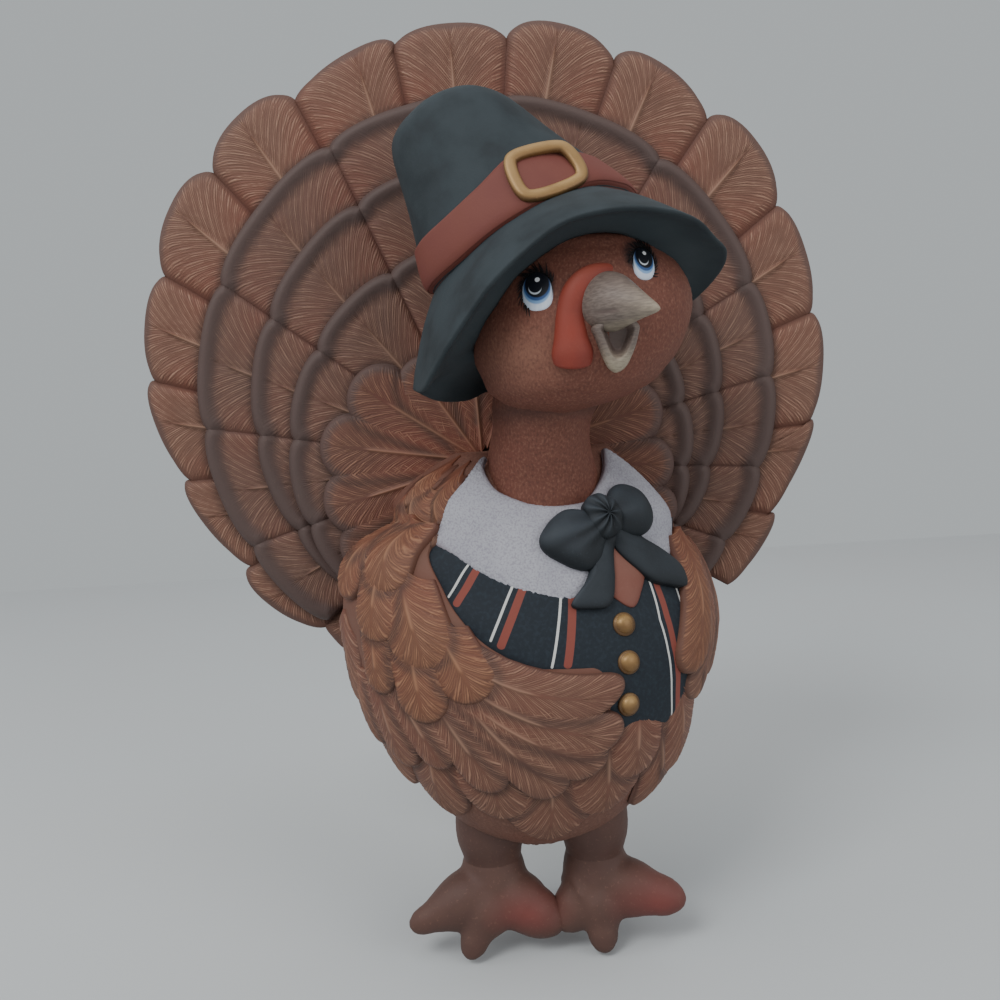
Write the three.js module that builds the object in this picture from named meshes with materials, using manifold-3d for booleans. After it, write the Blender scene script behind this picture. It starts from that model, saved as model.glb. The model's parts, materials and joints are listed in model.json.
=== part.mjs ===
// A ceramic wall plaque in high relief: a turkey with a pilgrim hat, collar and vest.
// Millimetres. X runs to the viewer's right and Z up, and the wall is the plane y = 0 behind the plaque.
// The origin is the place where the nail bears, at the top of the keyhole in the rear wall.
// Inside the model, places are counted from the middle of the tail fan, and depth is counted from the wall.

import * as THREE from 'three';
import { mergeVertices } from 'three/addons/utils/BufferGeometryUtils.js';
import Module from 'manifold-3d';

const wasm = await Module();
wasm.setup();

// Driving dimensions

const CLEARANCE = 0.3; // between pieces that touch
const OVERRUN = 30; // how far a cutting solid runs past what it cuts
const TURN = 2 * Math.PI;
const SIDES = { limb: 12, toe: 10, leg: 16, neck: 20, egg: 16, head: 18, keyhole: 24, wall: 48, bulge: 4 };

const FAN = {
  radius: 150, // to the notches between the outer feathers
  flatteningShare: 0.925, // the upper half of the fan is a little lower than a circle
  feathers: 16,
  firstSeam: THREE.MathUtils.degToRad(-51.5),
  lastSeam: THREE.MathUtils.degToRad(240),
  seamDrop: 22, // the seams are evenly spaced round a point this far below the middle
  quillDrop: 51, // seams and quills run towards a point this far below the middle
};

const REAR_WALL = { thickness: 5, rimSetback: 3, bodySetback: 2 };

const KEYHOLE = { hole: 12, slot: 6.5, drop: 12, height: 68 };

const TAIL_FEATHER = {
  length: 60,
  rise: 11, // of the rounded tip, beyond its notches
  thickness: 5.6,
  edge: 2.8,
  quill: 1.2,
  tipSteps: 5,
  tipShare: 0.88, // of a quarter turn round the tip
};
// Across a feather's front, from its right edge to its left: the place, the swell and the quill, as shares
const FEATHER_FRONT_SHARES = [
  [1, 0, 0],
  [0.8, 0.8, 0],
  [0.54, 1, 0],
  [0.5, 1, 1],
  [0.46, 1, 0],
  [0.2, 0.8, 0],
  [0, 0, 0],
];

const TAIL_ROW = { thickness: 3.6, edgeDrop: 1.4, seamDrop: 0.8, lobe: 5, pieceSteps: 4 };
// The seams between the feathers of the inner rows, in degrees round the point that the quills run to
const ROW_SEAMS_DEGREES = [-38, -22, -5, 12.8, 30, 56, 84, 112.5, 142.5, 170, 197, 222];
// The inner rows: their lengths as shares of the fan's radius
const TAIL_ROWS = [
  { name: 'tail_row_2', radiusShare: 0.86, dropShare: 0.133, widthShare: 0.347 },
  { name: 'tail_row_3', radiusShare: 0.693, dropShare: 0.167, widthShare: 0.307 },
  { name: 'tail_row_4', radiusShare: 0.587, dropShare: 0.3, widthShare: 0.28 },
  { name: 'tail_row_inner', radiusShare: 0.453, dropShare: 0.333, widthShare: 0.387 },
];

const TORSO = {
  width: 144,
  height: 166,
  depth: 97, // at the fullest part of the belly, from the wall
  wall: 5.5,
  top: -50,
  middle: 9.5,
  fullness: 2.4, // 2 would make each section a half ellipse
  around: 16,
  steps: 11,
};
// Down the torso: half width, front and sideways lean, as shares of half the width, the depth and the width
const TORSO_WIDTH_SHARES = [0.36, 0.53, 0.74, 0.9, 0.98, 1, 0.96, 0.84, 0.62, 0.36];
const TORSO_DEPTH_SHARES = [0.6, 0.75, 0.86, 0.93, 0.98, 1, 0.99, 0.95, 0.86, 0.66];
const TORSO_LEAN_SHARES = [0.094, 0.088, 0.075, 0.04, 0.01, 0, 0, 0.006, 0.014, 0.014];

const HEAD = { halfWidth: 43, halfDepth: 38, halfHeight: 37, right: 38, rise: 4, depth: 74, wall: 5.5 };
const NECK = {
  bottomRadius: 27,
  topRadius: 23,
  wall: 5,
  right: 22,
  lean: 7,
  depth: 50,
  forward: 12,
  overlap: 24,
  stations: [0, 1 / 2, 1],
};

const HAT = {
  radius: 44, // at the foot of the crown
  wall: 5,
  crownHeight: 65.6,
  edge: 2.4, // half the thickness of the brim's rim
  brimSwell: 2.2, // of the brim between its rim and the crown
  bandWidth: 15,
  bandThickness: 1.6,
  buckleWidth: 24,
  buckleHeight: 19,
  buckleBar: 4,
  buckleThickness: 2.6,
  buckleTurnShare: 0.345, // round the crown from its lowest left corner
  buckleSteps: 6,
  around: 42,
  rings: 14,
};
const CROWN_LEAN_SHARES = { left: 0.505, back: 0.116, up: 0.856 };
// Up the crown: half width, as a share of the foot's
const CROWN_WIDTH_SHARES = [
  1, 0.97, 0.93, 0.895, 0.85, 0.812, 0.775, 0.737, 0.705, 0.672, 0.64, 0.6, 0.55, 0.44, 0.05,
];
// Round the hat from its lowest left corner: right, forwards and up from the middle of the head, in shares
// of the hat's radius. First the rim of the brim, then the line where its underside meets the head, then
// the foot of the crown.
const BRIM_RIM_SHARES = [
  [-1.5, 0.23, -0.52],
  [-1.42, 0.52, -0.54],
  [-1.32, 0.7, -0.41],
  [-1.14, 0.86, -0.17],
  [-0.93, 0.98, 0.09],
  [-0.77, 1.05, 0.27],
  [-0.54, 1.09, 0.46],
  [-0.17, 1.11, 0.7],
  [0.27, 1.09, 0.79],
  [0.65, 0.98, 0.77],
  [0.95, 0.8, 0.71],
  [1.21, 0.52, 0.57],
  [1.28, 0.32, 0.5],
  [1.29, 0.09, 0.38],
  [1.09, -0.32, 0.16],
  [0.7, -0.77, -0.06],
  [0.16, -1, -0.2],
  [-0.41, -0.98, -0.41],
  [-0.87, -0.68, -0.55],
  [-1.08, -0.43, -0.63],
  [-1.32, -0.09, -0.62],
];
const BRIM_UNDER_SHARES = [
  [-0.89, 0.05, -0.33],
  [-0.97, 0.18, -0.25],
  [-0.91, 0.32, -0.16],
  [-0.84, 0.45, -0.02],
  [-0.74, 0.55, 0.1],
  [-0.63, 0.61, 0.24],
  [-0.5, 0.66, 0.37],
  [-0.14, 0.68, 0.59],
  [0.15, 0.68, 0.66],
  [0.37, 0.64, 0.65],
  [0.52, 0.57, 0.61],
  [0.65, 0.48, 0.56],
  [0.77, 0.36, 0.46],
  [0.86, 0.23, 0.36],
  [0.92, -0.09, 0.17],
  [0.62, -0.59, -0.03],
  [0.15, -0.86, -0.06],
  [-0.36, -0.86, -0.16],
  [-0.72, -0.61, -0.35],
  [-0.87, -0.41, -0.41],
  [-0.91, -0.18, -0.39],
];
const CROWN_FOOT_SHARES = [
  [-1.34, 0, 0.41],
  [-1.29, 0.18, 0.45],
  [-1.19, 0.32, 0.51],
  [-1.05, 0.43, 0.6],
  [-0.91, 0.5, 0.69],
  [-0.75, 0.55, 0.79],
  [-0.55, 0.57, 0.9],
  [-0.23, 0.55, 1.04],
  [0.15, 0.39, 1.18],
  [0.41, 0.14, 1.2],
  [0.53, -0.05, 1.18],
  [0.59, -0.27, 1.15],
  [0.55, -0.52, 1.1],
  [0.4, -0.77, 1.05],
  [0.19, -0.95, 1],
  [-0.13, -1.05, 0.91],
  [-0.47, -1.05, 0.8],
  [-0.82, -0.95, 0.68],
  [-1.08, -0.75, 0.55],
  [-1.22, -0.5, 0.47],
  [-1.31, -0.25, 0.41],
];
// How far the brim's hidden inner edges lie in from the foot of the crown and from the underside's line
const BRIM_INSET_SHARES = { foot: 0.12, under: 0.06 };

const EYE = { halfWidth: 6, halfHeight: 7.4, bulge: 3 };
// The eyes' places: aside and up from the middle of the head, in shares of half its width and height
const EYES = [
  { name: 'left_eye', asideShare: -0.384, upShare: 0.265 },
  { name: 'right_eye', asideShare: 0.542, upShare: 0.459 },
];

const BEAK = { rootX: 45, rootZ: 5, rootDepth: 104, width: 11, flatShare: 0.72, reach: 24 };
// Places by the beak are shares of its reach, counted aside, forwards and up from its root
const UPPER_BEAK_PATH_SHARES = [[-0.1, -0.2, 0.08], [0.2, 0.45, 0.1], [0.68, 0.95, -0.12]];
const UPPER_BEAK_WIDTH_SHARES = [1, 0.92, 0.8, 0.55, 0.2];
const LOWER_BEAK_PATH_SHARES = [[-0.1, 0.1, -0.3], [0.02, 0.34, -0.62], [0.1, 0.36, -0.92]];
const LOWER_BEAK_WIDTH_SHARES = [0.8, 0.75, 0.62, 0.42, 0.2];

const SNOOD = { x: 46, z: 19, aside: 17, hang: 34, blob: 7.6, lift: 2, flatShare: 0.8 };
// From above the beak down its left side, in shares of the snood's reach aside and of its hang
const SNOOD_PATH_SHARES = [
  [0, 0],
  [-0.6, -0.12],
  [-0.98, -0.42],
  [-0.97, -0.72],
  [-0.88, -0.98],
  [-0.84, -1.12],
];
const SNOOD_WIDTH_SHARES = [0.25, 0.45, 0.5, 0.58, 0.75, 0.95, 0.9, 0.3];

// The buttons' places, in shares of half the torso's width and of its height
const BUTTON = { radius: 4.3, bulge: 2.4, asideShare: 0.543, downShare: 0.39, pitchShare: 0.0976, count: 3 };

const THICKNESS = {
  left_wing_coverts: 8.5,
  left_wing_feathers: 6.5,
  right_wing_coverts: 13,
  right_wing_feathers: 11,
  collar: 5,
  shirt_front: 4,
  vest: 3,
  belly_feathers: 4,
};
// Outlines over the torso: places in shares of half its width and of its height, and each side's bulge
const WINGS = [
  {
    name: 'left_wing_coverts',
    outlineShares: [
      [-0.3, 0.01, 0], [-0.6, 0.07, 0.2], [-0.68, 0.14, 0.2], [-0.95, 0.22, 0], [-1.4, 0.26, 0],
      [-1.4, 0.42, 0], [-1.06, 0.45, 0.25], [-0.82, 0.5, 0.25], [-0.58, 0.52, 0.2], [-0.38, 0.45, 0.05],
      [-0.42, 0.31, 0], [-0.49, 0.175, 0],
    ],
  },
  {
    name: 'left_wing_feathers',
    outlineShares: [
      [-1.4, 0.42, 0], [-1.4, 0.6, 0], [-0.93, 0.69, 0.2], [-0.64, 0.74, 0.2], [-0.26, 0.76, 0.25],
      [0.06, 0.77, 0.25], [0.28, 0.71, 0.25], [0.45, 0.65, 0.3], [0.43, 0.6, 0.2], [0.48, 0.53, 0.1],
      [0.38, 0.487, 0.04], [0, 0.48, 0.04], [-0.44, 0.38, 0],
    ],
  },
  {
    name: 'right_wing_coverts',
    outlineShares: [
      [0.93, 0.27, 0], [0.9, 0.36, 0.05], [0.92, 0.45, 0.2], [1.4, 0.48, 0], [1.4, 0.25, 0],
    ],
  },
  {
    name: 'right_wing_feathers',
    outlineShares: [
      [0.92, 0.42, 0], [0.87, 0.49, 0.15], [0.89, 0.54, 0.15], [0.95, 0.59, 0.15], [1.02, 0.66, 0.2],
      [1.4, 0.62, 0], [1.4, 0.42, 0],
    ],
  },
];
const GARMENTS = [
  {
    name: 'collar',
    outlineShares: [
      [-0.174, -0.006, 0], [-0.493, 0.169, 0], [-0.472, 0.184, 0], [-0.299, 0.241, 0.04],
      [-0.049, 0.307, 0.04], [0.16, 0.343, 0.04], [0.299, 0.355, 0], [0.424, 0.259, 0], [0.507, 0.217, 0],
      [0.646, 0.262, 0], [0.84, 0.25, 0], [0.896, 0.205, 0.08], [0.562, 0.012, 0],
    ],
  },
  {
    name: 'shirt_front',
    outlineShares: [
      [0.507, 0.199, 0], [0.4, 0.27, 0], [0.493, 0.33, 0], [0.604, 0.349, 0], [0.65, 0.25, 0],
    ],
  },
  {
    name: 'vest',
    outlineShares: [
      [-0.493, 0.165, 0], [-0.45, 0.33, 0], [-0.2, 0.5, 0], [0.38, 0.55, 0], [0.493, 0.548, 0.15],
      [0.424, 0.627, 0.1], [0.479, 0.669, 0.15], [0.618, 0.639, 0.15], [0.785, 0.663, 0.15], [0.95, 0.62, 0],
      [1, 0.4, 0], [0.92, 0.24, 0], [0.84, 0.2, 0], [0.5, 0.1, 0], [0, 0.1, 0],
    ],
  },
  {
    name: 'belly_feathers',
    outlineShares: [
      [-1.4, 0.5, 0], [-1.4, 0.66, 0], [-0.92, 0.72, 0.3], [-0.62, 0.81, 0.3], [-0.23, 0.85, 0.3],
      [0.14, 0.87, 0.3], [0.52, 0.8, 0.3], [0.9, 0.7, 0], [1.4, 0.64, 0], [1.4, 0.5, 0],
    ],
  },
];

// The knot's place and the bow's span, in shares of half the torso's width, of its height and of its width
const BOW = { asideShare: 0.493, downShare: 0.1355, spanShare: 0.16, loop: 9.5 };
// Each part of the bow: its path in shares of the bow's span, its widths and lift in shares of its loop
const BOW_PIECES = [
  {
    name: 'bow_knot',
    pathShares: [[-0.22, 0.05], [0.02, 0], [0.26, 0.02]],
    widthShares: [0.5, 0.68, 0.5],
    flatShare: 0.8,
    liftShare: 0.32,
  },
  {
    name: 'bow_left_loop',
    pathShares: [[-0.2, -0.1], [-0.55, -0.33], [-1.06, -0.24]],
    widthShares: [0.45, 0.95, 1.05, 0.85, 0.35],
    flatShare: 0.5,
    liftShare: 0.26,
  },
  {
    name: 'bow_right_loop',
    pathShares: [[0.2, 0.12], [0.48, 0.22], [0.72, -0.15]],
    widthShares: [0.45, 0.85, 0.95, 0.8, 0.35],
    flatShare: 0.6,
    liftShare: 0.63,
  },
  {
    name: 'bow_left_tail',
    pathShares: [[-0.15, -0.24], [-0.3, -0.85], [-0.39, -1.4]],
    widthShares: [0.35, 0.5, 0.55, 0.6, 0.6],
    flatShare: 0.35,
    liftShare: 0.1,
  },
  {
    name: 'bow_right_tail',
    pathShares: [[0.15, -0.24], [0.55, -0.65], [0.9, -0.95]],
    widthShares: [0.35, 0.45, 0.5, 0.52, 0.5],
    flatShare: 0.45,
    liftShare: 0.32,
  },
];

const LEG = { radius: 13.5, ankle: 12, sink: 13, length: 27, depth: 50 };
// The legs' places at the torso and at the ankle, in shares of half the torso's width
const LEGS = [
  { name: 'left', side: -1, topShare: -0.285, ankleShare: -0.3125 },
  { name: 'right', side: 1, topShare: 0.326, ankleShare: 0.34 },
];
const FOOT = { heel: 14, toe: 8, length: 35, forward: 14, knuckleShare: 0.667 };
// Each toe's way outwards and down, and its widths, in shares of the foot's length and of a toe's radius
const TOE_SHARES = [[0.92, 0.3], [0.15, 0.9], [-0.48, 0.6]];
const TOE_WIDTH_SHARES = [1.45, 1.35, 1.2, 1, 0.7];

// Materials

const paint = (color, roughness, metalness = 0) => (
  new THREE.MeshStandardMaterial({ color, roughness, metalness })
);
const FEATHER_BROWN = paint(0x96604b, 0.7);
const DARK_FEATHER_BROWN = paint(0x6f4f45, 0.72);
const GOLDEN_BROWN = paint(0xbb8053, 0.7);
const SKIN_BROWN = paint(0x8f5844, 0.75);
const HAT_BLACK = paint(0x283436, 0.75);
const RUST = paint(0x8c463c, 0.7);
const WORN_GOLD = paint(0xa58250, 0.45, 0.6);
const BEAK_GREY = paint(0x87786e, 0.6);
const SNOOD_RED = paint(0xa04632, 0.65);
const EYE_BLUE = paint(0x4a78b4, 0.2);
const COLLAR_WHITE = paint(0xbebec3, 0.8);
const VEST_BLACK = paint(0x1e2430, 0.75);
const CLAY_WHITE = paint(0xd8d0c4, 0.8);
const GARMENT_PAINTS = {
  collar: COLLAR_WHITE,
  shirt_front: RUST,
  vest: VEST_BLACK,
  belly_feathers: FEATHER_BROWN,
};

// Small helpers for places and solids

/** A point given by its place to the right, its depth from the wall and its height. */
const at = (x, depth, z) => new THREE.Vector3(x, -depth, z);

/** Makes a closed solid from triangles, whichever way they face. */
function solidFromTriangles(points, faces) {
  let volume = 0;
  for (let i = 0; i < faces.length; i += 3) {
    const [a, b, c] = [points[faces[i]], points[faces[i + 1]], points[faces[i + 2]]];
    volume += a.dot(b.clone().cross(c));
  }
  const outward = volume > 0 ? faces : faces.toReversed();
  return new wasm.Manifold(new wasm.Mesh({
    numProp: 3,
    vertProperties: new Float32Array(points.flatMap((point) => point.toArray())),
    triVerts: new Uint32Array(outward),
  }));
}

/** Stretches a skin over closed loops of points: a tube with capped ends, or a ring if it is closed. */
function skin(loops, closed = false) {
  const count = loops[0].length;
  const points = loops.flat();
  const faces = [];
  const strips = closed ? loops.length : loops.length - 1;
  for (let i = 0; i < strips; i += 1) {
    const here = i * count;
    const next = ((i + 1) % loops.length) * count;
    for (let j = 0; j < count; j += 1) {
      const k = (j + 1) % count;
      faces.push(here + j, here + k, next + j, here + k, next + k, next + j);
    }
  }
  if (!closed) {
    const ends = [[0, false], [loops.length - 1, true]];
    for (const [end, flipped] of ends) {
      const middle = new THREE.Vector3();
      loops[end].forEach((point) => middle.add(point));
      points.push(middle.divideScalar(count));
      for (let j = 0; j < count; j += 1) {
        const edge = [end * count + j, end * count + ((j + 1) % count)];
        if (!flipped) edge.reverse();
        faces.push(points.length - 1, ...edge);
      }
    }
  }
  return solidFromTriangles(points, faces);
}

/** Turns a closed three.js geometry into a solid. */
function solidFromGeometry(geometry) {
  geometry.deleteAttribute('normal');
  geometry.deleteAttribute('uv');
  const merged = mergeVertices(geometry);
  return new wasm.Manifold(new wasm.Mesh({
    numProp: 3,
    vertProperties: new Float32Array(merged.attributes.position.array),
    triVerts: new Uint32Array(merged.index.array),
  }));
}

/** A straight prism of an outline seen from the front, between two depths. */
function prism(outline, fromDepth, toDepth) {
  const shape = new THREE.Shape(outline.map(([x, z]) => new THREE.Vector2(x, z)));
  const geometry = new THREE.ExtrudeGeometry(shape, { depth: toDepth - fromDepth, bevelEnabled: false });
  geometry.rotateX(TURN / 4);
  geometry.translate(0, -fromDepth, 0);
  return solidFromGeometry(geometry);
}

/** Reads a table of evenly spaced shares at any place from 0 to 1, with smooth steps between its rows. */
function smoothShare(table, place) {
  const curve = new THREE.SplineCurve(table.map((value, i) => new THREE.Vector2(i, value)));
  return curve.getPoint(THREE.MathUtils.clamp(place, 0, 1)).y;
}

/** Closed loop of an ellipse with the given centre and two half axes. */
function ellipse(centre, across, deep, count) {
  return Array.from({ length: count }, (_, i) => centre.clone()
    .addScaledVector(across, Math.cos((TURN * i) / count))
    .addScaledVector(deep, Math.sin((TURN * i) / count)));
}

/** An egg-shaped solid with half axes along the given three directions. */
function egg(centre, axes, halves, grow = 0, count = SIDES.egg) {
  const [across, deep, up] = axes.map((axis, i) => axis.clone().multiplyScalar(halves[i] + grow));
  const loops = [];
  const rings = count / 2;
  for (let i = 1; i < rings; i += 1) {
    const height = -Math.cos((Math.PI * i) / rings);
    const girth = Math.sin((Math.PI * i) / rings);
    const middle = centre.clone().addScaledVector(up, height);
    const halfAxes = [across, deep].map((axis) => axis.clone().multiplyScalar(girth));
    loops.push(ellipse(middle, ...halfAxes, count));
  }
  return skin(loops);
}

/** A round limb along points, with radii spread along it and a share that flattens it towards one way. */
function limb(points, radii, flatShare = 1, grow = 0, facing = at(0, 1, 0), count = SIDES.limb) {
  const path = new THREE.CatmullRomCurve3(points);
  const steps = (points.length - 1) * 2;
  const loops = [];
  for (let i = 0; i <= steps; i += 1) {
    const place = i / steps;
    const along = path.getTangent(place);
    const side = along.clone().cross(facing).normalize();
    const front = side.clone().cross(along).normalize();
    const radius = smoothShare(radii, place) + grow;
    const centre = path.getPoint(place);
    if (i === 0) centre.addScaledVector(along, -grow);
    if (i === steps) centre.addScaledVector(along, grow);
    loops.push(ellipse(centre, side.multiplyScalar(radius), front.multiplyScalar(radius * flatShare), count));
  }
  return skin(loops);
}

/** Follows an outline of rows [x, z, bulge], with each side swelling by that share of its length. */
function scalloped(rows) {
  const outline = [];
  rows.forEach(([x, z, bulgeShare], i) => {
    const [nextX, nextZ] = rows[(i + 1) % rows.length];
    const count = bulgeShare === 0 ? 1 : SIDES.bulge;
    for (let k = 0; k < count; k += 1) {
      const place = k / count;
      const swell = 4 * bulgeShare * place * (1 - place);
      outline.push([
        x + (nextX - x) * place + (nextZ - z) * swell,
        z + (nextZ - z) * place - (nextX - x) * swell,
      ]);
    }
  });
  return outline;
}

// Tail fan

const quillPoint = new THREE.Vector2(0, -FAN.quillDrop);

/** Where a line from a point on the fan's upright middle, at an angle, crosses a circle centred below it. */
function rayToCircle(fromDrop, angle, circleDrop, radius) {
  const away = circleDrop - fromDrop;
  const reach = -away * Math.sin(angle) + Math.sqrt(radius ** 2 - (away * Math.cos(angle)) ** 2);
  return new THREE.Vector2(reach * Math.cos(angle), reach * Math.sin(angle) - fromDrop);
}

/** Lowers the upper half of the fan a little. */
const flattened = (point) => new THREE.Vector2(point.x, point.y * (point.y > 0 ? FAN.flatteningShare : 1));

/** The notch at the start of outer feather number i. */
function notch(i) {
  const angle = THREE.MathUtils.lerp(FAN.firstSeam, FAN.lastSeam, i / FAN.feathers);
  return flattened(rayToCircle(FAN.seamDrop, angle, 0, FAN.radius));
}

const featherBack = REAR_WALL.thickness + CLEARANCE;
const featherFront = featherBack + TAIL_FEATHER.thickness + TAIL_FEATHER.quill;

/** One outer tail feather, with a rounded tip and a raised quill. */
function tailFeather(number, grow = 0) {
  const tips = [notch(number), notch(number + 1)];
  const middle = tips[0].clone().add(tips[1]).multiplyScalar(1 / 2);
  const out = middle.clone().sub(quillPoint).normalize();
  const roots = tips.map((tip) => {
    const inward = quillPoint.clone().sub(tip).normalize();
    return tip.clone().addScaledVector(inward, TAIL_FEATHER.length);
  });
  const edges = [0, 1 / 2, 1].map((place) => ({
    sides: roots.map((root, i) => root.clone().lerp(tips[i], place)),
    full: 1,
  }));
  for (let step = 1; step <= TAIL_FEATHER.tipSteps; step += 1) {
    const bend = ((step / TAIL_FEATHER.tipSteps) * TAIL_FEATHER.tipShare * TURN) / 4;
    edges.push({
      sides: tips.map((tip) => middle.clone()
        .lerp(tip, Math.cos(bend))
        .addScaledVector(out, (TAIL_FEATHER.rise + grow) * Math.sin(bend))),
      full: Math.cos(bend),
    });
  }
  const loops = edges.map(({ sides, full }) => {
    const width = sides[1].clone().sub(sides[0]);
    const inset = (CLEARANCE / 2 - grow) / width.length();
    const across = (place, depth) => {
      const point = sides[0].clone().addScaledVector(width, THREE.MathUtils.lerp(inset, 1 - inset, place));
      return at(point.x, depth, point.y);
    };
    const rim = featherBack + TAIL_FEATHER.edge + grow;
    const swell = (TAIL_FEATHER.thickness - TAIL_FEATHER.edge) * full;
    const front = FEATHER_FRONT_SHARES.map(([place, swellShare, quillShare]) => (
      across(place, rim + swellShare * swell + quillShare * TAIL_FEATHER.quill * full)
    ));
    return [across(0, featherBack - grow), across(1, featherBack - grow), ...front];
  });
  return skin(loops);
}

/** One ring of shorter feathers, lying over the row outside it. */
function tailRow(row, order, grow = 0) {
  const back = featherFront + CLEARANCE + order * (TAIL_ROW.thickness + CLEARANCE) - grow;
  const front = back + TAIL_ROW.thickness + 2 * grow;
  const width = row.widthShare * FAN.radius + grow;
  const steps = (ROW_SEAMS_DEGREES.length - 1) * TAIL_ROW.pieceSteps;
  const loops = [];
  for (let i = 0; i <= steps; i += 1) {
    const seam = Math.min(Math.floor(i / TAIL_ROW.pieceSteps), ROW_SEAMS_DEGREES.length - 2);
    const share = i / TAIL_ROW.pieceSteps - seam;
    const [from, to] = ROW_SEAMS_DEGREES.slice(seam, seam + 2).map(THREE.MathUtils.degToRad);
    const angle = THREE.MathUtils.lerp(from, to, share);
    const edge = rayToCircle(FAN.quillDrop, angle, row.dropShare * FAN.radius, row.radiusShare * FAN.radius);
    const out = edge.clone().sub(quillPoint);
    const reach = out.length();
    const fullness = Math.sqrt(Math.abs(Math.sin(Math.PI * share)));
    const lobe = TAIL_ROW.lobe * fullness;
    const dip = TAIL_ROW.seamDrop * (1 - fullness);
    out.normalize();
    const place = (distance, depth) => {
      const point = quillPoint.clone().addScaledVector(out, distance);
      return at(point.x, depth, point.y);
    };
    loops.push([
      place(reach - width, back),
      place(reach + lobe + grow, back),
      place(reach + lobe + grow, front - TAIL_ROW.edgeDrop),
      place(reach + lobe - TAIL_ROW.lobe, front - dip),
      place(reach - width, front - dip),
    ]);
  }
  return skin(loops);
}

// Torso and neck

/** The torso's half width, front depth and middle, at a place from its top (0) to its bottom (1). */
function torsoSection(place, grow = 0) {
  return {
    half: smoothShare(TORSO_WIDTH_SHARES, place) * (TORSO.width / 2) + grow,
    front: smoothShare(TORSO_DEPTH_SHARES, place) * TORSO.depth + grow,
    middle: TORSO.middle + smoothShare(TORSO_LEAN_SHARES, place) * TORSO.width,
  };
}

/** The torso as a solid whose back lies at the given depth, grown outwards all round its front. */
function torsoSolid(grow = 0, back = featherBack) {
  const loops = [];
  for (let i = 0; i <= TORSO.steps; i += 1) {
    const place = i / TORSO.steps;
    const { half, front, middle } = torsoSection(place, grow);
    const z = TORSO.top + grow - place * (TORSO.height + 2 * grow);
    const loop = [];
    for (let k = 0; k <= TORSO.around; k += 1) {
      const angle = (Math.PI * k) / TORSO.around;
      const aside = Math.sign(Math.cos(angle)) * Math.abs(Math.cos(angle)) ** (2 / TORSO.fullness);
      const outward = Math.max(Math.sin(angle), 0) ** (2 / TORSO.fullness);
      loop.push(at(middle - half * aside, featherBack + (front - featherBack) * outward, z));
    }
    if (back < featherBack) loop.push(at(middle + half, back, z), at(middle - half, back, z));
    loops.push(loop);
  }
  return skin(loops);
}

/** How far the torso stands out from the wall at a place seen from the front. */
function torsoFront(x, z) {
  const { half, front, middle } = torsoSection((TORSO.top - z) / TORSO.height);
  const aside = Math.min(Math.abs(x - middle) / half, 1);
  return featherBack + (front - featherBack) * (1 - aside ** TORSO.fullness) ** (1 / TORSO.fullness);
}

/** A place seen from the front, in shares of the torso: from its middle outwards and down from its top. */
const onTorso = (asideShare, downShare) => [
  TORSO.middle + (asideShare * TORSO.width) / 2,
  TORSO.top - downShare * TORSO.height,
];

/** An outline over the torso, from rows of two shares of the torso and a bulge. */
const torsoOutline = (outlineShares) => scalloped(outlineShares.map(([asideShare, downShare, bulgeShare]) => [
  ...onTorso(asideShare, downShare),
  bulgeShare,
]));

/** The neck, from inside the torso's top up to the middle of the head, leaning right and forwards. */
function neckSolid(grow = 0) {
  const bottom = TORSO.top - NECK.overlap;
  const top = HEAD.rise - HEAD.halfHeight / 2;
  const loops = NECK.stations.map((place) => {
    const radius = THREE.MathUtils.lerp(NECK.bottomRadius, NECK.topRadius, Math.sqrt(place)) + grow;
    const centre = at(
      NECK.right + NECK.lean * place,
      NECK.depth + NECK.forward * place,
      THREE.MathUtils.lerp(bottom - Math.abs(grow), top + Math.abs(grow), place),
    );
    return ellipse(centre, at(radius, 0, 0), at(0, radius, 0), SIDES.neck);
  });
  return skin(loops);
}

// Head and hat

const sideways = at(1, 0, 0);
const forwards = at(0, 1, 0);
const upwards = at(0, 0, 1);
const headCentre = at(HEAD.right, HEAD.depth, HEAD.rise);

/** The head, as an egg. */
const headSolid = (grow = 0) => egg(
  headCentre,
  [sideways, forwards, upwards],
  [HEAD.halfWidth, HEAD.halfDepth, HEAD.halfHeight],
  grow,
  SIDES.head,
);

/** How far the head stands out from the wall at a place seen from the front. */
function headFront(x, z) {
  const rest = 1 - ((x - HEAD.right) / HEAD.halfWidth) ** 2 - ((z - HEAD.rise) / HEAD.halfHeight) ** 2;
  return HEAD.depth + HEAD.halfDepth * Math.sqrt(Math.max(rest, 0));
}

/** A closed curve through places on the hat, given in shares of its radius. */
const hatLine = (shares) => new THREE.CatmullRomCurve3(shares.map(([right, out, up]) => (
  at(right, out, up).multiplyScalar(HAT.radius).add(headCentre)
)), true, 'catmullrom');

const brimRim = hatLine(BRIM_RIM_SHARES);
const brimUnder = hatLine(BRIM_UNDER_SHARES);
const crownFoot = hatLine(CROWN_FOOT_SHARES);
const hatUp = at(-CROWN_LEAN_SHARES.left, -CROWN_LEAN_SHARES.back, CROWN_LEAN_SHARES.up).normalize();
const footCentre = new THREE.Vector3();
crownFoot.points.forEach((point) => footCentre.addScaledVector(point, 1 / crownFoot.points.length));

/** A point on the crown, at a place up it, a share of a turn round it and a distance outside it. */
function crownPoint(place, turnShare, grow) {
  const away = crownFoot.getPoint(THREE.MathUtils.euclideanModulo(turnShare, 1)).sub(footCentre);
  const reach = smoothShare(CROWN_WIDTH_SHARES, place) * away.length() + grow;
  return footCentre.clone()
    .addScaledVector(hatUp, place * (HAT.crownHeight + grow))
    .addScaledVector(away.normalize(), Math.max(reach, CLEARANCE));
}

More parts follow.
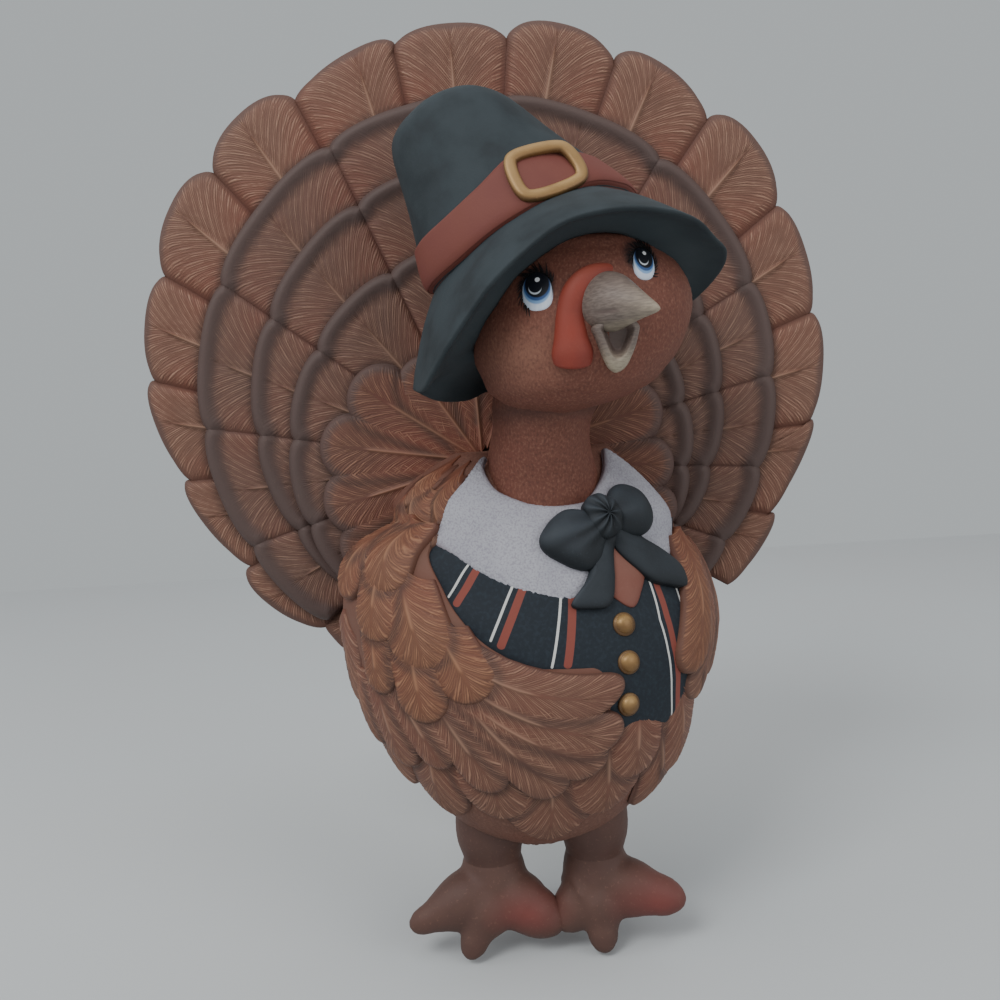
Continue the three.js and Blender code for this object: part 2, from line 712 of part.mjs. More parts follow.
/** Part of the crown's skin between two places up it, two shares of a turn and two distances outside it. */
function crownPatch(places, turnShares, distances, steps) {
  const whole = turnShares[1] - turnShares[0] >= 1;
  const loops = [];
  for (let i = 0; i < steps + (whole ? 0 : 1); i += 1) {
    const turnShare = THREE.MathUtils.lerp(turnShares[0], turnShares[1], i / steps);
    loops.push([
      crownPoint(places[0], turnShare, distances[0]),
      crownPoint(places[0], turnShare, distances[1]),
      crownPoint(places[1], turnShare, distances[1]),
      crownPoint(places[1], turnShare, distances[0]),
    ]);
  }
  return skin(loops, whole);
}

/** The crown as a solid, smaller or larger all round, starting lower by the given length. */
function crownSolid(grow = 0, lower = 0) {
  const loops = [];
  for (let i = 0; i <= HAT.rings; i += 1) {
    const place = i / HAT.rings - (i === 0 ? lower / HAT.crownHeight : 0);
    loops.push(Array.from({ length: HAT.around }, (_, k) => crownPoint(place, k / HAT.around, grow)));
  }
  return skin(loops);
}

/** The brim: a ring that flares from the foot of the crown to a rim that sweeps down at its sides. */
function brimSolid(grow = 0) {
  const loops = [];
  for (let i = 0; i < HAT.around; i += 1) {
    const [rim, under, foot] = [brimRim, brimUnder, crownFoot].map((line) => line.getPoint(i / HAT.around));
    const out = rim.clone().sub(footCentre).normalize();
    const near = (point, forwardsOut, upwardsOut) => point.clone()
      .addScaledVector(out, forwardsOut)
      .addScaledVector(hatUp, upwardsOut);
    const inner = foot.clone().lerp(footCentre, BRIM_INSET_SHARES.foot);
    const deep = under.clone().lerp(footCentre, BRIM_INSET_SHARES.under);
    loops.push([
      near(deep, -grow, -grow),
      near(inner, -grow, grow),
      near(foot, 0, grow),
      near(inner.clone().lerp(rim, 1 / 2), 0, HAT.brimSwell + grow),
      near(rim, -HAT.edge, HAT.edge + grow),
      near(rim, grow, 0),
      near(rim, -HAT.edge, -HAT.edge - grow),
      near(under.clone().lerp(rim, 1 / 2), 0, HAT.brimSwell / 2 - grow),
    ]);
  }
  return skin(loops, true);
}

// Construction of the pieces

const group = new THREE.Group();
group.name = 'turkey_wall_plaque';
group.position.z = -KEYHOLE.height;

/** Adds a finished solid to the plaque as a named mesh, without the crumbs that cutting leaves beside it. */
function addPiece(name, solid, material) {
  const bodies = solid.decompose().sort((a, b) => b.volume() - a.volume());
  const { vertProperties, triVerts } = bodies[0].getMesh();
  const geometry = new THREE.BufferGeometry();
  geometry.setAttribute('position', new THREE.BufferAttribute(new Float32Array(vertProperties), 3));
  geometry.setIndex(new THREE.BufferAttribute(new Uint32Array(triVerts), 1));
  geometry.computeVertexNormals();
  const mesh = new THREE.Mesh(geometry, material);
  mesh.name = name;
  group.add(mesh);
}

/** Cuts a solid by each of the others in turn. */
const without = (solid, ...cutters) => cutters.flat().reduce((rest, cutter) => rest.subtract(cutter), solid);

/** A shell that follows the torso's front inside an outline given in shares of the torso. */
function overTorso(outlineShares, thickness) {
  return torsoSolid(thickness)
    .intersect(prism(torsoOutline(outlineShares), featherBack, TORSO.depth + OVERRUN))
    .subtract(torsoSolid(CLEARANCE, 0));
}

/** The room that such a shell needs right through: its outline, wider all round by the clearance. */
function roomOverTorso(outlineShares) {
  const whole = prism(torsoOutline(outlineShares), 0, TORSO.depth + OVERRUN);
  const shifts = [[1, 1], [1, -1], [-1, 1], [-1, -1]];
  const copies = shifts.map(([x, z]) => whole.translate([x * CLEARANCE, 0, z * CLEARANCE]));
  return copies.reduce((sum, copy) => sum.add(copy), whole);
}

/** The flat plate behind the fan and the torso, with the keyhole that the plaque hangs by. */
function rearWall() {
  const fanLoop = Array.from({ length: SIDES.wall }, (_, i) => {
    const angle = (TURN * i) / SIDES.wall;
    const reach = FAN.radius - REAR_WALL.rimSetback;
    return flattened(new THREE.Vector2(reach * Math.cos(angle), reach * Math.sin(angle)));
  });
  const sides = Array.from({ length: TORSO.steps + 1 }, (_, i) => {
    const { half, middle } = torsoSection(i / TORSO.steps);
    const reach = half - REAR_WALL.bodySetback;
    const z = TORSO.top - (i / TORSO.steps) * (TORSO.height - REAR_WALL.bodySetback);
    return { left: [middle - reach, z], right: [middle + reach, z] };
  });
  const bodyOutline = [...sides.map((row) => row.left), ...sides.toReversed().map((row) => row.right)];
  const plates = [fanLoop.map((point) => [point.x, point.y]), bodyOutline]
    .map((outline) => prism(outline, 0, REAR_WALL.thickness));
  const round = (radius, z) => Array.from({ length: SIDES.keyhole }, (_, i) => [
    radius * Math.cos((TURN * i) / SIDES.keyhole),
    z + radius * Math.sin((TURN * i) / SIDES.keyhole),
  ]);
  const slotTop = KEYHOLE.height - KEYHOLE.slot / 2;
  const slot = [
    [-KEYHOLE.slot / 2, slotTop - KEYHOLE.drop],
    [KEYHOLE.slot / 2, slotTop - KEYHOLE.drop],
    [KEYHOLE.slot / 2, slotTop],
    [-KEYHOLE.slot / 2, slotTop],
  ];
  const cutters = [round(KEYHOLE.hole / 2, slotTop - KEYHOLE.drop), round(KEYHOLE.slot / 2, slotTop), slot]
    .map((outline) => prism(outline, -OVERRUN, OVERRUN));
  return without(plates[0].add(plates[1]), cutters);
}

addPiece('rear_wall', rearWall(), CLAY_WHITE);

const torsoRoom = torsoSolid(CLEARANCE, 0);
const neckRoom = neckSolid(CLEARANCE);
for (let number = 0; number < FAN.feathers; number += 1) {
  const name = `tail_feather_${String(number + 1).padStart(2, '0')}`;
  addPiece(name, without(tailFeather(number), torsoRoom), FEATHER_BROWN);
}
TAIL_ROWS.forEach((row, order) => {
  addPiece(row.name, without(tailRow(row, order), torsoRoom, neckRoom), DARK_FEATHER_BROWN);
});

// The torso is hollow and open behind, where the rear wall closes it, and its neck hole takes the neck.
const torso = without(torsoSolid(), torsoSolid(-TORSO.wall, -OVERRUN), neckRoom);
addPiece('torso', torso, FEATHER_BROWN);

const tailRoom = TAIL_ROWS.map((row, order) => tailRow(row, order, CLEARANCE));
const featherRoom = [0, FAN.feathers - 1].map((number) => tailFeather(number, CLEARANCE));
addPiece('neck', without(neckSolid(), neckSolid(-NECK.wall)), SKIN_BROWN);

// Wings, garments and belly feathers lie over the torso. What lies lower is cut back round what lies higher.

const wingRooms = [];
for (const { name, outlineShares } of WINGS) {
  const whole = overTorso(outlineShares, THICKNESS[name]);
  const wing = without(whole, wingRooms, tailRoom, featherRoom, neckRoom);
  addPiece(name, wing, name.endsWith('coverts') ? GOLDEN_BROWN : FEATHER_BROWN);
  wingRooms.push(roomOverTorso(outlineShares));
}
const garmentRooms = [];
for (const { name, outlineShares } of GARMENTS) {
  const whole = overTorso(outlineShares, THICKNESS[name]);
  const solid = without(whole, wingRooms, garmentRooms, tailRoom, neckRoom);
  addPiece(name, solid, GARMENT_PAINTS[name]);
  garmentRooms.push(roomOverTorso(outlineShares));
}

/** Three directions at a place on a surface seen from the front: along it, out of it and up it. */
function surfaceAxes(frontOf, x, z, step) {
  const slopeX = (frontOf(x + step, z) - frontOf(x - step, z)) / (2 * step);
  const slopeZ = (frontOf(x, z + step) - frontOf(x, z - step)) / (2 * step);
  const out = at(-slopeX, 1, -slopeZ).normalize();
  const along = out.clone().cross(upwards).negate().normalize();
  return [along, out, along.clone().cross(out).negate()];
}

const vestRoom = torsoSolid(THICKNESS.vest + CLEARANCE);
for (let number = 0; number < BUTTON.count; number += 1) {
  const [x, z] = onTorso(BUTTON.asideShare, BUTTON.downShare + number * BUTTON.pitchShare);
  const centre = at(x, torsoFront(x, z) + THICKNESS.vest, z);
  const axes = surfaceAxes(torsoFront, x, z, BUTTON.radius);
  const button = egg(centre, axes, [BUTTON.radius, BUTTON.bulge, BUTTON.radius]);
  addPiece(`vest_button_${number + 1}`, button.subtract(vestRoom), WORN_GOLD);
}

// Bow, tied over the collar

const collarOutside = THICKNESS.collar + CLEARANCE;
const collarRoom = torsoSolid(collarOutside);
const bowSpan = BOW.spanShare * TORSO.width;
const [knotX, knotZ] = onTorso(BOW.asideShare, BOW.downShare);

/** A limb of the bow along places given in shares of its span from the knot. */
function bowPiece({ pathShares, widthShares, flatShare, liftShare }, grow = 0) {
  const points = pathShares.map(([asideShare, upShare]) => {
    const x = knotX + asideShare * bowSpan;
    const z = knotZ + upShare * bowSpan;
    return at(x, torsoFront(x, z) + collarOutside + liftShare * BOW.loop, z);
  });
  return limb(points, widthShares.map((share) => share * BOW.loop), flatShare, grow);
}

const bowRooms = [];
for (const piece of BOW_PIECES) {
  addPiece(piece.name, without(bowPiece(piece), collarRoom, neckRoom, bowRooms), VEST_BLACK);
  bowRooms.push(bowPiece(piece, CLEARANCE));
}

// Head, with its eyes, beak and snood

const headRoom = headSolid(CLEARANCE);
addPiece('head', without(headSolid(), headSolid(-HEAD.wall), neckRoom), SKIN_BROWN);
for (const { name, asideShare, upShare } of EYES) {
  const x = HEAD.right + asideShare * HEAD.halfWidth;
  const z = HEAD.rise + upShare * HEAD.halfHeight;
  const axes = surfaceAxes(headFront, x, z, EYE.halfWidth);
  const eye = egg(at(x, headFront(x, z), z), axes, [EYE.halfWidth, EYE.bulge, EYE.halfHeight]);
  addPiece(name, eye.subtract(headRoom), EYE_BLUE);
}

/** A place by the beak, in shares of its reach from its root: aside, forwards and upwards. */
const byBeak = ([aside, out, up]) => at(
  BEAK.rootX + aside * BEAK.reach,
  BEAK.rootDepth + out * BEAK.reach,
  BEAK.rootZ + up * BEAK.reach,
);
const upperBeak = (grow) => limb(
  UPPER_BEAK_PATH_SHARES.map(byBeak),
  UPPER_BEAK_WIDTH_SHARES.map((share) => share * BEAK.width),
  BEAK.flatShare,
  grow,
  upwards,
);
const lowerBeak = (grow) => limb(
  LOWER_BEAK_PATH_SHARES.map(byBeak),
  LOWER_BEAK_WIDTH_SHARES.map((share) => share * BEAK.width),
  BEAK.flatShare,
  grow,
);
addPiece('upper_beak', upperBeak(0).subtract(headRoom), BEAK_GREY);
addPiece('lower_beak', without(lowerBeak(0), headRoom, upperBeak(CLEARANCE)), BEAK_GREY);

const snoodPath = SNOOD_PATH_SHARES.map(([aside, down]) => {
  const x = SNOOD.x + aside * SNOOD.aside;
  const z = SNOOD.z + down * SNOOD.hang;
  return at(x, headFront(x, z) + SNOOD.lift, z);
});
const snood = limb(snoodPath, SNOOD_WIDTH_SHARES.map((share) => share * SNOOD.blob), SNOOD.flatShare);
addPiece('snood', without(snood, headRoom, upperBeak(CLEARANCE), lowerBeak(CLEARANCE)), SNOOD_RED);

// Hat

const brimRoom = brimSolid(CLEARANCE);
addPiece('hat_brim', without(brimSolid(), headRoom, tailRoom, neckRoom), HAT_BLACK);
const crown = without(crownSolid(), crownSolid(-HAT.wall, OVERRUN), headRoom, brimRoom, tailRoom);
addPiece('hat_crown', crown, HAT_BLACK);
const bandTop = HAT.bandWidth / HAT.crownHeight;
const bandFoot = CLEARANCE / HAT.crownHeight;
const bandOutside = CLEARANCE + HAT.bandThickness;
const band = crownPatch([bandFoot, bandTop], [0, 1], [0, bandOutside], HAT.around);
addPiece('hat_band', without(band, crownSolid(CLEARANCE), brimRoom, tailRoom), RUST);
const buckleTurns = (width) => [-1, 1].map((side) => (
  HAT.buckleTurnShare + (side * width) / (2 * TURN * HAT.radius)
));
const buckleOutside = bandOutside + CLEARANCE + HAT.buckleThickness;
const buckleBody = crownPatch(
  [bandFoot, bandFoot + HAT.buckleHeight / HAT.crownHeight],
  buckleTurns(HAT.buckleWidth),
  [0, buckleOutside],
  HAT.buckleSteps,
);
const buckleWindow = crownPatch(
  [HAT.buckleBar / HAT.crownHeight, (HAT.buckleHeight - HAT.buckleBar) / HAT.crownHeight],
  buckleTurns(HAT.buckleWidth - 2 * HAT.buckleBar),
  [-HAT.wall, OVERRUN],
  HAT.buckleSteps,
);
const bandRoom = crownSolid(bandOutside + CLEARANCE);
addPiece('hat_buckle', without(buckleBody, buckleWindow, bandRoom, brimRoom), WORN_GOLD);

// Legs and feet

/** A place on a leg, in shares of half the torso's width and of the way down the leg. */
function onLeg(asideShare, downShare) {
  const [x, bottom] = onTorso(asideShare, 1);
  return at(x, LEG.depth, bottom + LEG.sink - downShare * LEG.length);
}

/** A foot: a heel and three toes that spread forwards and down. */
function footSolid({ side, ankleShare }, grow = 0) {
  const heel = onLeg(ankleShare, 1);
  const solids = [egg(heel, [sideways, forwards, upwards], [FOOT.heel, FOOT.heel, FOOT.heel], grow)];
  for (const [asideShare, downShare] of TOE_SHARES) {
    const way = at(side * asideShare * FOOT.length, FOOT.forward, -downShare * FOOT.length);
    const points = [0, FOOT.knuckleShare, 1].map((place) => heel.clone().addScaledVector(way, place));
    const radii = TOE_WIDTH_SHARES.map((share) => share * FOOT.toe);
    solids.push(limb(points, radii, 1, grow, forwards, SIDES.toe));
  }
  return solids.reduce((sum, solid) => sum.add(solid));
}

const footRooms = [];
for (const leg of LEGS) {
  addPiece(`${leg.name}_foot`, without(footSolid(leg), footRooms), SKIN_BROWN);
  footRooms.push(footSolid(leg, CLEARANCE));
  const ends = [onLeg(leg.topShare, 0), onLeg(leg.ankleShare, 1)];
  const shin = limb(ends, [LEG.radius, LEG.ankle, LEG.ankle], 1, 0, forwards, SIDES.leg);
  addPiece(`${leg.name}_leg`, without(shin, torsoRoom, footRooms), SKIN_BROWN);
}

export default group;
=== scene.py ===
"""Ceramic wall plaque: a turkey with a pilgrim hat, collar and vest, sculpted and painted over its frame.

Sizes are in millimetres and are counted as in the part's source: x to the viewer's right, depth out from
the wall, and z up from the middle of the tail fan. Clay.shape turns them into metres round the nail's seat.
"""

import json
import logging
import math
from dataclasses import dataclass, field
from enum import Enum
from typing import Any, Sequence

import bpy
import numpy as np
from mathutils import Matrix, Vector

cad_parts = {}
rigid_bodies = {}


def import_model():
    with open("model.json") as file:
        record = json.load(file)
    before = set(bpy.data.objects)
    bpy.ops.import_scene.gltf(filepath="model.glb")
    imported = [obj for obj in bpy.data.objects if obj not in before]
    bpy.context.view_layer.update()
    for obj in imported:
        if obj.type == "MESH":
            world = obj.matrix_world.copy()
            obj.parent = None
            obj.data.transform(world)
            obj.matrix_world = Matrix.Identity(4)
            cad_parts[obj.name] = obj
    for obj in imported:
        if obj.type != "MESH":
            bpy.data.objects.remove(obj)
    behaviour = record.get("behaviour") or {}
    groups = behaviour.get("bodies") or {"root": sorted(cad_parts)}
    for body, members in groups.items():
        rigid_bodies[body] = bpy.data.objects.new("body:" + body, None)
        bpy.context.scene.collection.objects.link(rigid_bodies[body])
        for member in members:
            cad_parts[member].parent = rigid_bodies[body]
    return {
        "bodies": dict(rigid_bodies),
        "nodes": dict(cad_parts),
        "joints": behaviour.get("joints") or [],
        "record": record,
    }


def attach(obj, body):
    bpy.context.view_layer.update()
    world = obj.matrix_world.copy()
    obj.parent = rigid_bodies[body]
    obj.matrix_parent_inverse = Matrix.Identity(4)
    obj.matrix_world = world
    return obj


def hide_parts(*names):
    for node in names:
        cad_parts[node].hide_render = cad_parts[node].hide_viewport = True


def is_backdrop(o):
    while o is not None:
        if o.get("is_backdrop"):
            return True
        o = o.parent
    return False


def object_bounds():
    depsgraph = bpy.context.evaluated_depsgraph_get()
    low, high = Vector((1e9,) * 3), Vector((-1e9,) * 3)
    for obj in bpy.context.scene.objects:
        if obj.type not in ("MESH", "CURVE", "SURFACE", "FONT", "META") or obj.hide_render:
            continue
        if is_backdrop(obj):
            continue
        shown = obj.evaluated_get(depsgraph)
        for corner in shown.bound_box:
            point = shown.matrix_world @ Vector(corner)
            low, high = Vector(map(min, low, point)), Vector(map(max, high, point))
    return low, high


Array = np.ndarray
Triple = tuple[float, float, float]
Rows = tuple[tuple[float, ...], ...]
Points = Sequence[Sequence[float]]
LOG = logging.getLogger("plaque")
MM = 0.001
NAIL_HEIGHT = 68.0  # of the nail's seat above the middle of the fan
BACK = 5.3  # front of the rear wall
HALF_TURN = math.pi
TURN = 2 * math.pi
OUTWARD = np.array([0.0, 1.0, 0.0])  # away from the wall
QUILL_POINT = np.array([-4.0, -51.0])  # where the quills of the tail meet


class Slot(Enum):
    """The finishes of the record."""

    BEAK_GREY = "beak_grey"
    COLLAR_WHITE = "collar_white"
    EYE_PAINT = "eye_paint"
    FEATHER_BROWN = "feather_brown"
    FEATHER_DARK = "feather_dark"
    FEATHER_GOLDEN = "feather_golden"
    HAT_BLACK = "hat_black"
    RUST_PAINT = "rust_paint"
    SKIN_BROWN = "skin_brown"
    SNOOD_RED = "snood_red"
    VEST_BLACK = "vest_black"
    WORN_GOLD = "worn_gold"


# ---- Numbers along a line ----


def smoothstep(low: float, high: float, value: Array) -> Array:
    """Rises smoothly from 0 at low to 1 at high."""
    share = np.clip((value - low) / (high - low), 0, 1)
    return share * share * (3 - 2 * share)


def unit(way: Array) -> Array:
    """Directions with a length of 1."""
    return way / np.linalg.norm(way, axis=-1, keepdims=True)


def run_of(line: Array) -> float:
    """The length of a line of points."""
    return float(np.linalg.norm(np.diff(line, axis=0), axis=1).sum())


def resample(points: Array, shares: Array) -> Array:
    """Places along a line of points.

    Args:
        points: the line, one row a point.
        shares: from 0 at its start to 1 at its end, by length.

    Returns:
        One row for each share.
    """
    steps = np.linalg.norm(np.diff(points, axis=0), axis=1)
    length = np.concatenate([[0], np.cumsum(steps)])
    columns = [np.interp(shares * length[-1], length, points[:, k]) for k in range(points.shape[1])]
    return np.stack(columns, axis=-1)


@dataclass(frozen=True)
class Profile:
    """A smooth curve through rows, each a place followed by its values."""

    rows: Rows

    def at(self, place: Array | float) -> Array:
        """The values at one or many places.

        Args:
            place: the place or places, held within the rows.

        Returns:
            The values, in a last axis of their own.
        """
        table = np.array(self.rows, float)
        keys, values = table[:, 0], table[:, 1:]
        slopes = np.gradient(values, keys, axis=0)
        where = np.clip(np.asarray(place, float), keys[0], keys[-1])
        i = np.clip(np.searchsorted(keys, where, "right") - 1, 0, len(keys) - 2)
        span = (keys[i + 1] - keys[i])[..., None]
        t = (where - keys[i])[..., None] / span
        start = (2 * t**3 - 3 * t**2 + 1) * values[i] + (t**3 - 2 * t**2 + t) * span * slopes[i]
        end = (3 * t**2 - 2 * t**3) * values[i + 1] + (t**3 - t**2) * span * slopes[i + 1]
        return start + end


def bearings(count: int) -> Array:
    """Angles spread evenly round a turn."""
    return np.linspace(0, TURN, count, endpoint=False)


# ---- Clay: meshes in the making ----


def set_out(name: str, data: bpy.types.ID) -> bpy.types.Object:
    """Puts data in the scene as an object at the origin."""
    shaped = bpy.data.objects.new(name, data)
    bpy.context.scene.collection.objects.link(shaped)
    return shaped


@dataclass
class Clay:
    """Closed bodies in millimetres, gathered into one mesh with marks for the paint."""

    points: list[Array] = field(default_factory=list)
    faces: list[list[list[int]]] = field(default_factory=list)
    marks: list[dict[str, Array]] = field(default_factory=list)

    def add(self, points: Array, faces: list[list[int]], **marks: Array) -> None:
        """Adds a closed body and turns its faces outwards.

        Args:
            points: rows of x, depth and z.
            faces: rows of point numbers.
            marks: one value for each point, by name.
        """
        world = points * (1, -1, 1)
        volume = 0.0
        for size in (3, 4):
            block = np.array([face for face in faces if len(face) == size], int)
            for k in range(1, size - 1):
                if len(block):
                    a, b, c = world[block[:, 0]], world[block[:, k]], world[block[:, k + 1]]
                    volume += float(np.einsum("ij,ij->", a, np.cross(b, c)))
        if volume < 0:
            faces = [face[::-1] for face in faces]
        self.points.append(world)
        self.faces.append(faces)
        self.marks.append(marks)

    def shape(self, name: str, edges: Sequence[tuple[int, int]] = ()) -> bpy.types.Object:
        """Makes the mesh.

        Args:
            name: the object's name.
            edges: pairs of point numbers that are joined without a face.

        Returns:
            An object at the origin with its place in its mesh.
        """
        start, faces = 0, []
        for points, block in zip(self.points, self.faces):
            faces += [[start + k for k in face] for face in block]
            start += len(points)
        world = (np.concatenate(self.points) - (0, 0, NAIL_HEIGHT)) * MM
        mesh = bpy.data.meshes.new(name)
        mesh.from_pydata(world.tolist(), edges, faces)
        for mark in {key for marks in self.marks for key in marks}:
            blank = [marks.get(mark, np.zeros(len(p))) for p, marks in zip(self.points, self.marks)]
            layer = mesh.attributes.new(mark, "FLOAT", "POINT")
            layer.data.foreach_set("value", np.concatenate(blank).astype(np.float32))
        mesh.polygons.foreach_set("use_smooth", [True] * len(mesh.polygons))
        mesh.update()
        return set_out(name, mesh)


def lattice(rows: int, columns: int, closed: bool = False) -> list[list[int]]:
    """Four-sided faces over a grid of points.

    Args:
        rows: how many rows of points.
        columns: how many points a row.
        closed: whether each row meets its own start.

    Returns:
        Rows of point numbers.
    """
    i, j = np.meshgrid(np.arange(rows - 1), np.arange(columns if closed else columns - 1), indexing="ij")
    here, beside = i * columns + j, i * columns + (j + 1) % columns
    return np.stack([here, beside, beside + columns, here + columns], -1).reshape(-1, 4).tolist()


def add_tube(clay: Clay, rings: Array, joined: bool = False, **marks: Array) -> None:
    """Adds a body skinned over closed rings.

    Args:
        clay: what it is added to.
        rings: an array of rings, points and x, depth and z.
        joined: whether the last ring meets the first, as in a band. Both ends are closed otherwise.
        marks: values that spread over the points of the rings.
    """
    rows, columns = rings.shape[:2]
    points = rings.reshape(-1, 3)
    spread = {key: np.broadcast_to(value, rings.shape[:2]) for key, value in marks.items()}
    values = {key: value.ravel() for key, value in spread.items()}
    faces = lattice(rows + joined, columns, True)
    if joined:
        faces = [[k % len(points) for k in face] for face in faces]
    else:
        last = (rows - 1) * columns
        for k in range(columns):
            after = (k + 1) % columns
            faces += [[rows * columns, after, k], [rows * columns + 1, last + k, last + after]]
        points = np.concatenate([points, rings[:1].mean(1), rings[-1:].mean(1)])
        for key, value in spread.items():
            values[key] = np.concatenate([values[key], [value[0].mean(), value[-1].mean()]])
    clay.add(points, faces, **values)


def add_slab(clay: Clay, front: Array, back: Array, **marks: Array) -> None:
    """Adds a sheet with a front, a back and four sides.

    Args:
        clay: what it is added to.
        front: a grid of points.
        back: the same grid behind it.
        marks: values that spread over the front, which the back shares.
    """
    rows, columns = front.shape[:2]
    count = rows * columns
    faces = lattice(rows, columns)
    faces += [[count + k for k in face[::-1]] for face in lattice(rows, columns)]
    index = np.arange(count).reshape(rows, columns)
    rim = np.concatenate([index[0], index[1:, -1], index[-1, -2::-1], index[-2:0:-1, 0]])
    around = zip(rim.tolist(), np.roll(rim, -1).tolist())
    faces += [[b, a, a + count, b + count] for a, b in around]
    both = {key: np.tile(np.broadcast_to(value, (rows, columns)).ravel(), 2) for key, value in marks.items()}
    clay.add(np.concatenate([front.reshape(-1, 3), back.reshape(-1, 3)]), faces, **both)


def limb(path: Points, radii: Sequence[float], flat: float = 1.0, steps: int = 24,
         around: int = 28) -> Array:
    """Rings of a rounded limb along a curved path.

    Args:
        path: points of x, depth and z.
        radii: spread evenly along the path.
        flat: how thick it is out from the wall, as a share of its width.
        steps: how many rings.
        around: how many points a ring.

    Returns:
        An array of rings, points and x, depth and z, with rounded ends.
    """
    points = np.array(path, float)
    keys = np.linspace(0, 1, len(points))
    curve = Profile(tuple((key, *row) for key, row in zip(keys, points.tolist())))
    widths = Profile(tuple(zip(np.linspace(0, 1, len(radii)).tolist(), map(float, radii))))
    shares = (1 - np.cos(np.linspace(0, HALF_TURN, steps))) / 2
    centres, girths = curve.at(shares), widths.at(shares)[:, 0]
    along = unit(curve.at(shares + 0.01) - curve.at(shares - 0.01))
    side = unit(np.cross(along, OUTWARD))
    front = np.cross(side, along)
    ends = np.clip(np.minimum(shares, 1 - shares) * steps / 3, 0.04, 1)
    girths = girths * np.sqrt(1 - (1 - ends) ** 2)
    angles = bearings(around)
    ring = side[:, None] * np.cos(angles)[:, None] + front[:, None] * (flat * np.sin(angles))[:, None]
    return centres[:, None] + ring * girths[:, None, None]


# ---- Node trees ----


class Field:
    """A socket that Python's operators add Math nodes to."""

    def __init__(self, tree: "Tree", socket: bpy.types.NodeSocket) -> None:
        """Keeps the socket and the tree it belongs to."""
        self.tree = tree
        self.socket = socket

    def math(self, operation: str, *others: Any) -> "Field":
        """Adds one Math node on this value and others."""
        return self.tree.node("ShaderNodeMath", {"operation": operation}, *((self,) + others))

    def __add__(self, other: Any) -> "Field":
        """Sum."""
        return self.math("ADD", other)

    def __sub__(self, other: Any) -> "Field":
        """Difference."""
        return self.math("SUBTRACT", other)

    def __mul__(self, other: Any) -> "Field":
        """Product."""
        return self.math("MULTIPLY", other)

    def __truediv__(self, other: Any) -> "Field":
        """Quotient."""
        return self.math("DIVIDE", other)

    def __pow__(self, other: Any) -> "Field":
        """Power."""
        return self.math("POWER", other)

    def __rsub__(self, other: float) -> "Field":
        """Number less this value."""
        return self.tree.node("ShaderNodeMath", {"operation": "SUBTRACT"}, other, self)

    __radd__ = __add__
    __rmul__ = __mul__

    def step(self, low: float, high: float) -> "Field":
        """Smooth rise from 0 at low to 1 at high."""
        settings = {"interpolation_type": "SMOOTHSTEP"}
        return self.tree.node("ShaderNodeMapRange", settings, self, low, high)

    def held(self) -> "Field":
        """This value held between 0 and 1."""
        return self.tree.node("ShaderNodeMath", {"operation": "ADD", "use_clamp": True}, self, 0.0)


class Tree:
    """A node tree, with one method that adds any node."""

    def __init__(self, nodes: bpy.types.NodeTree) -> None:
        """Keeps the tree that nodes are added to."""
        self.nodes = nodes

    def node(self, kind: str, settings: dict[str, Any] | None = None, *values: Any, out: int | str = 0,
             **named: Any) -> Field:
        """Adds a node.

        Args:
            kind: the node's type.
            settings: properties, set before the sockets.
            values: numbers or fields for its shown inputs, in order. None leaves one alone.
            out: which output is handed back.
            named: numbers or fields for inputs by name, with spaces as underscores.

        Returns:
            The output as a field.
        """
        made = self.nodes.nodes.new(kind)
        for key, value in (settings or {}).items():
            setattr(made, key, value)
        shown = [socket for socket in made.inputs if socket.enabled]
        for socket, value in zip(shown, values):
            self.feed(socket, value)
        for key, value in named.items():
            self.feed(next(s for s in shown if s.name == key.replace("_", " ")), value)
        outputs = [socket for socket in made.outputs if socket.enabled]
        if isinstance(out, str):
            return Field(self, next(socket for socket in outputs if socket.name == out))
        return Field(self, outputs[out])

    def feed(self, socket: bpy.types.NodeSocket, value: Any) -> None:
        """Links a field to a socket, or sets its number."""
        if isinstance(value, Field):
            self.nodes.links.new(value.socket, socket)
        elif value is not None:
            socket.default_value = value

    def mix(self, share: Any, first: Any, second: Any) -> Field:
        """Mixes two colours by a share.

        Args:
            share: how much of the second, from 0 to 1.
            first: a colour or a field.
            second: a colour or a field.

        Returns:
            The mixed colour.
        """
        pair = [colour if isinstance(colour, Field) else (*colour, 1) for colour in (first, second)]
        return self.node("ShaderNodeMix", {"data_type": "RGBA"}, share, *pair)


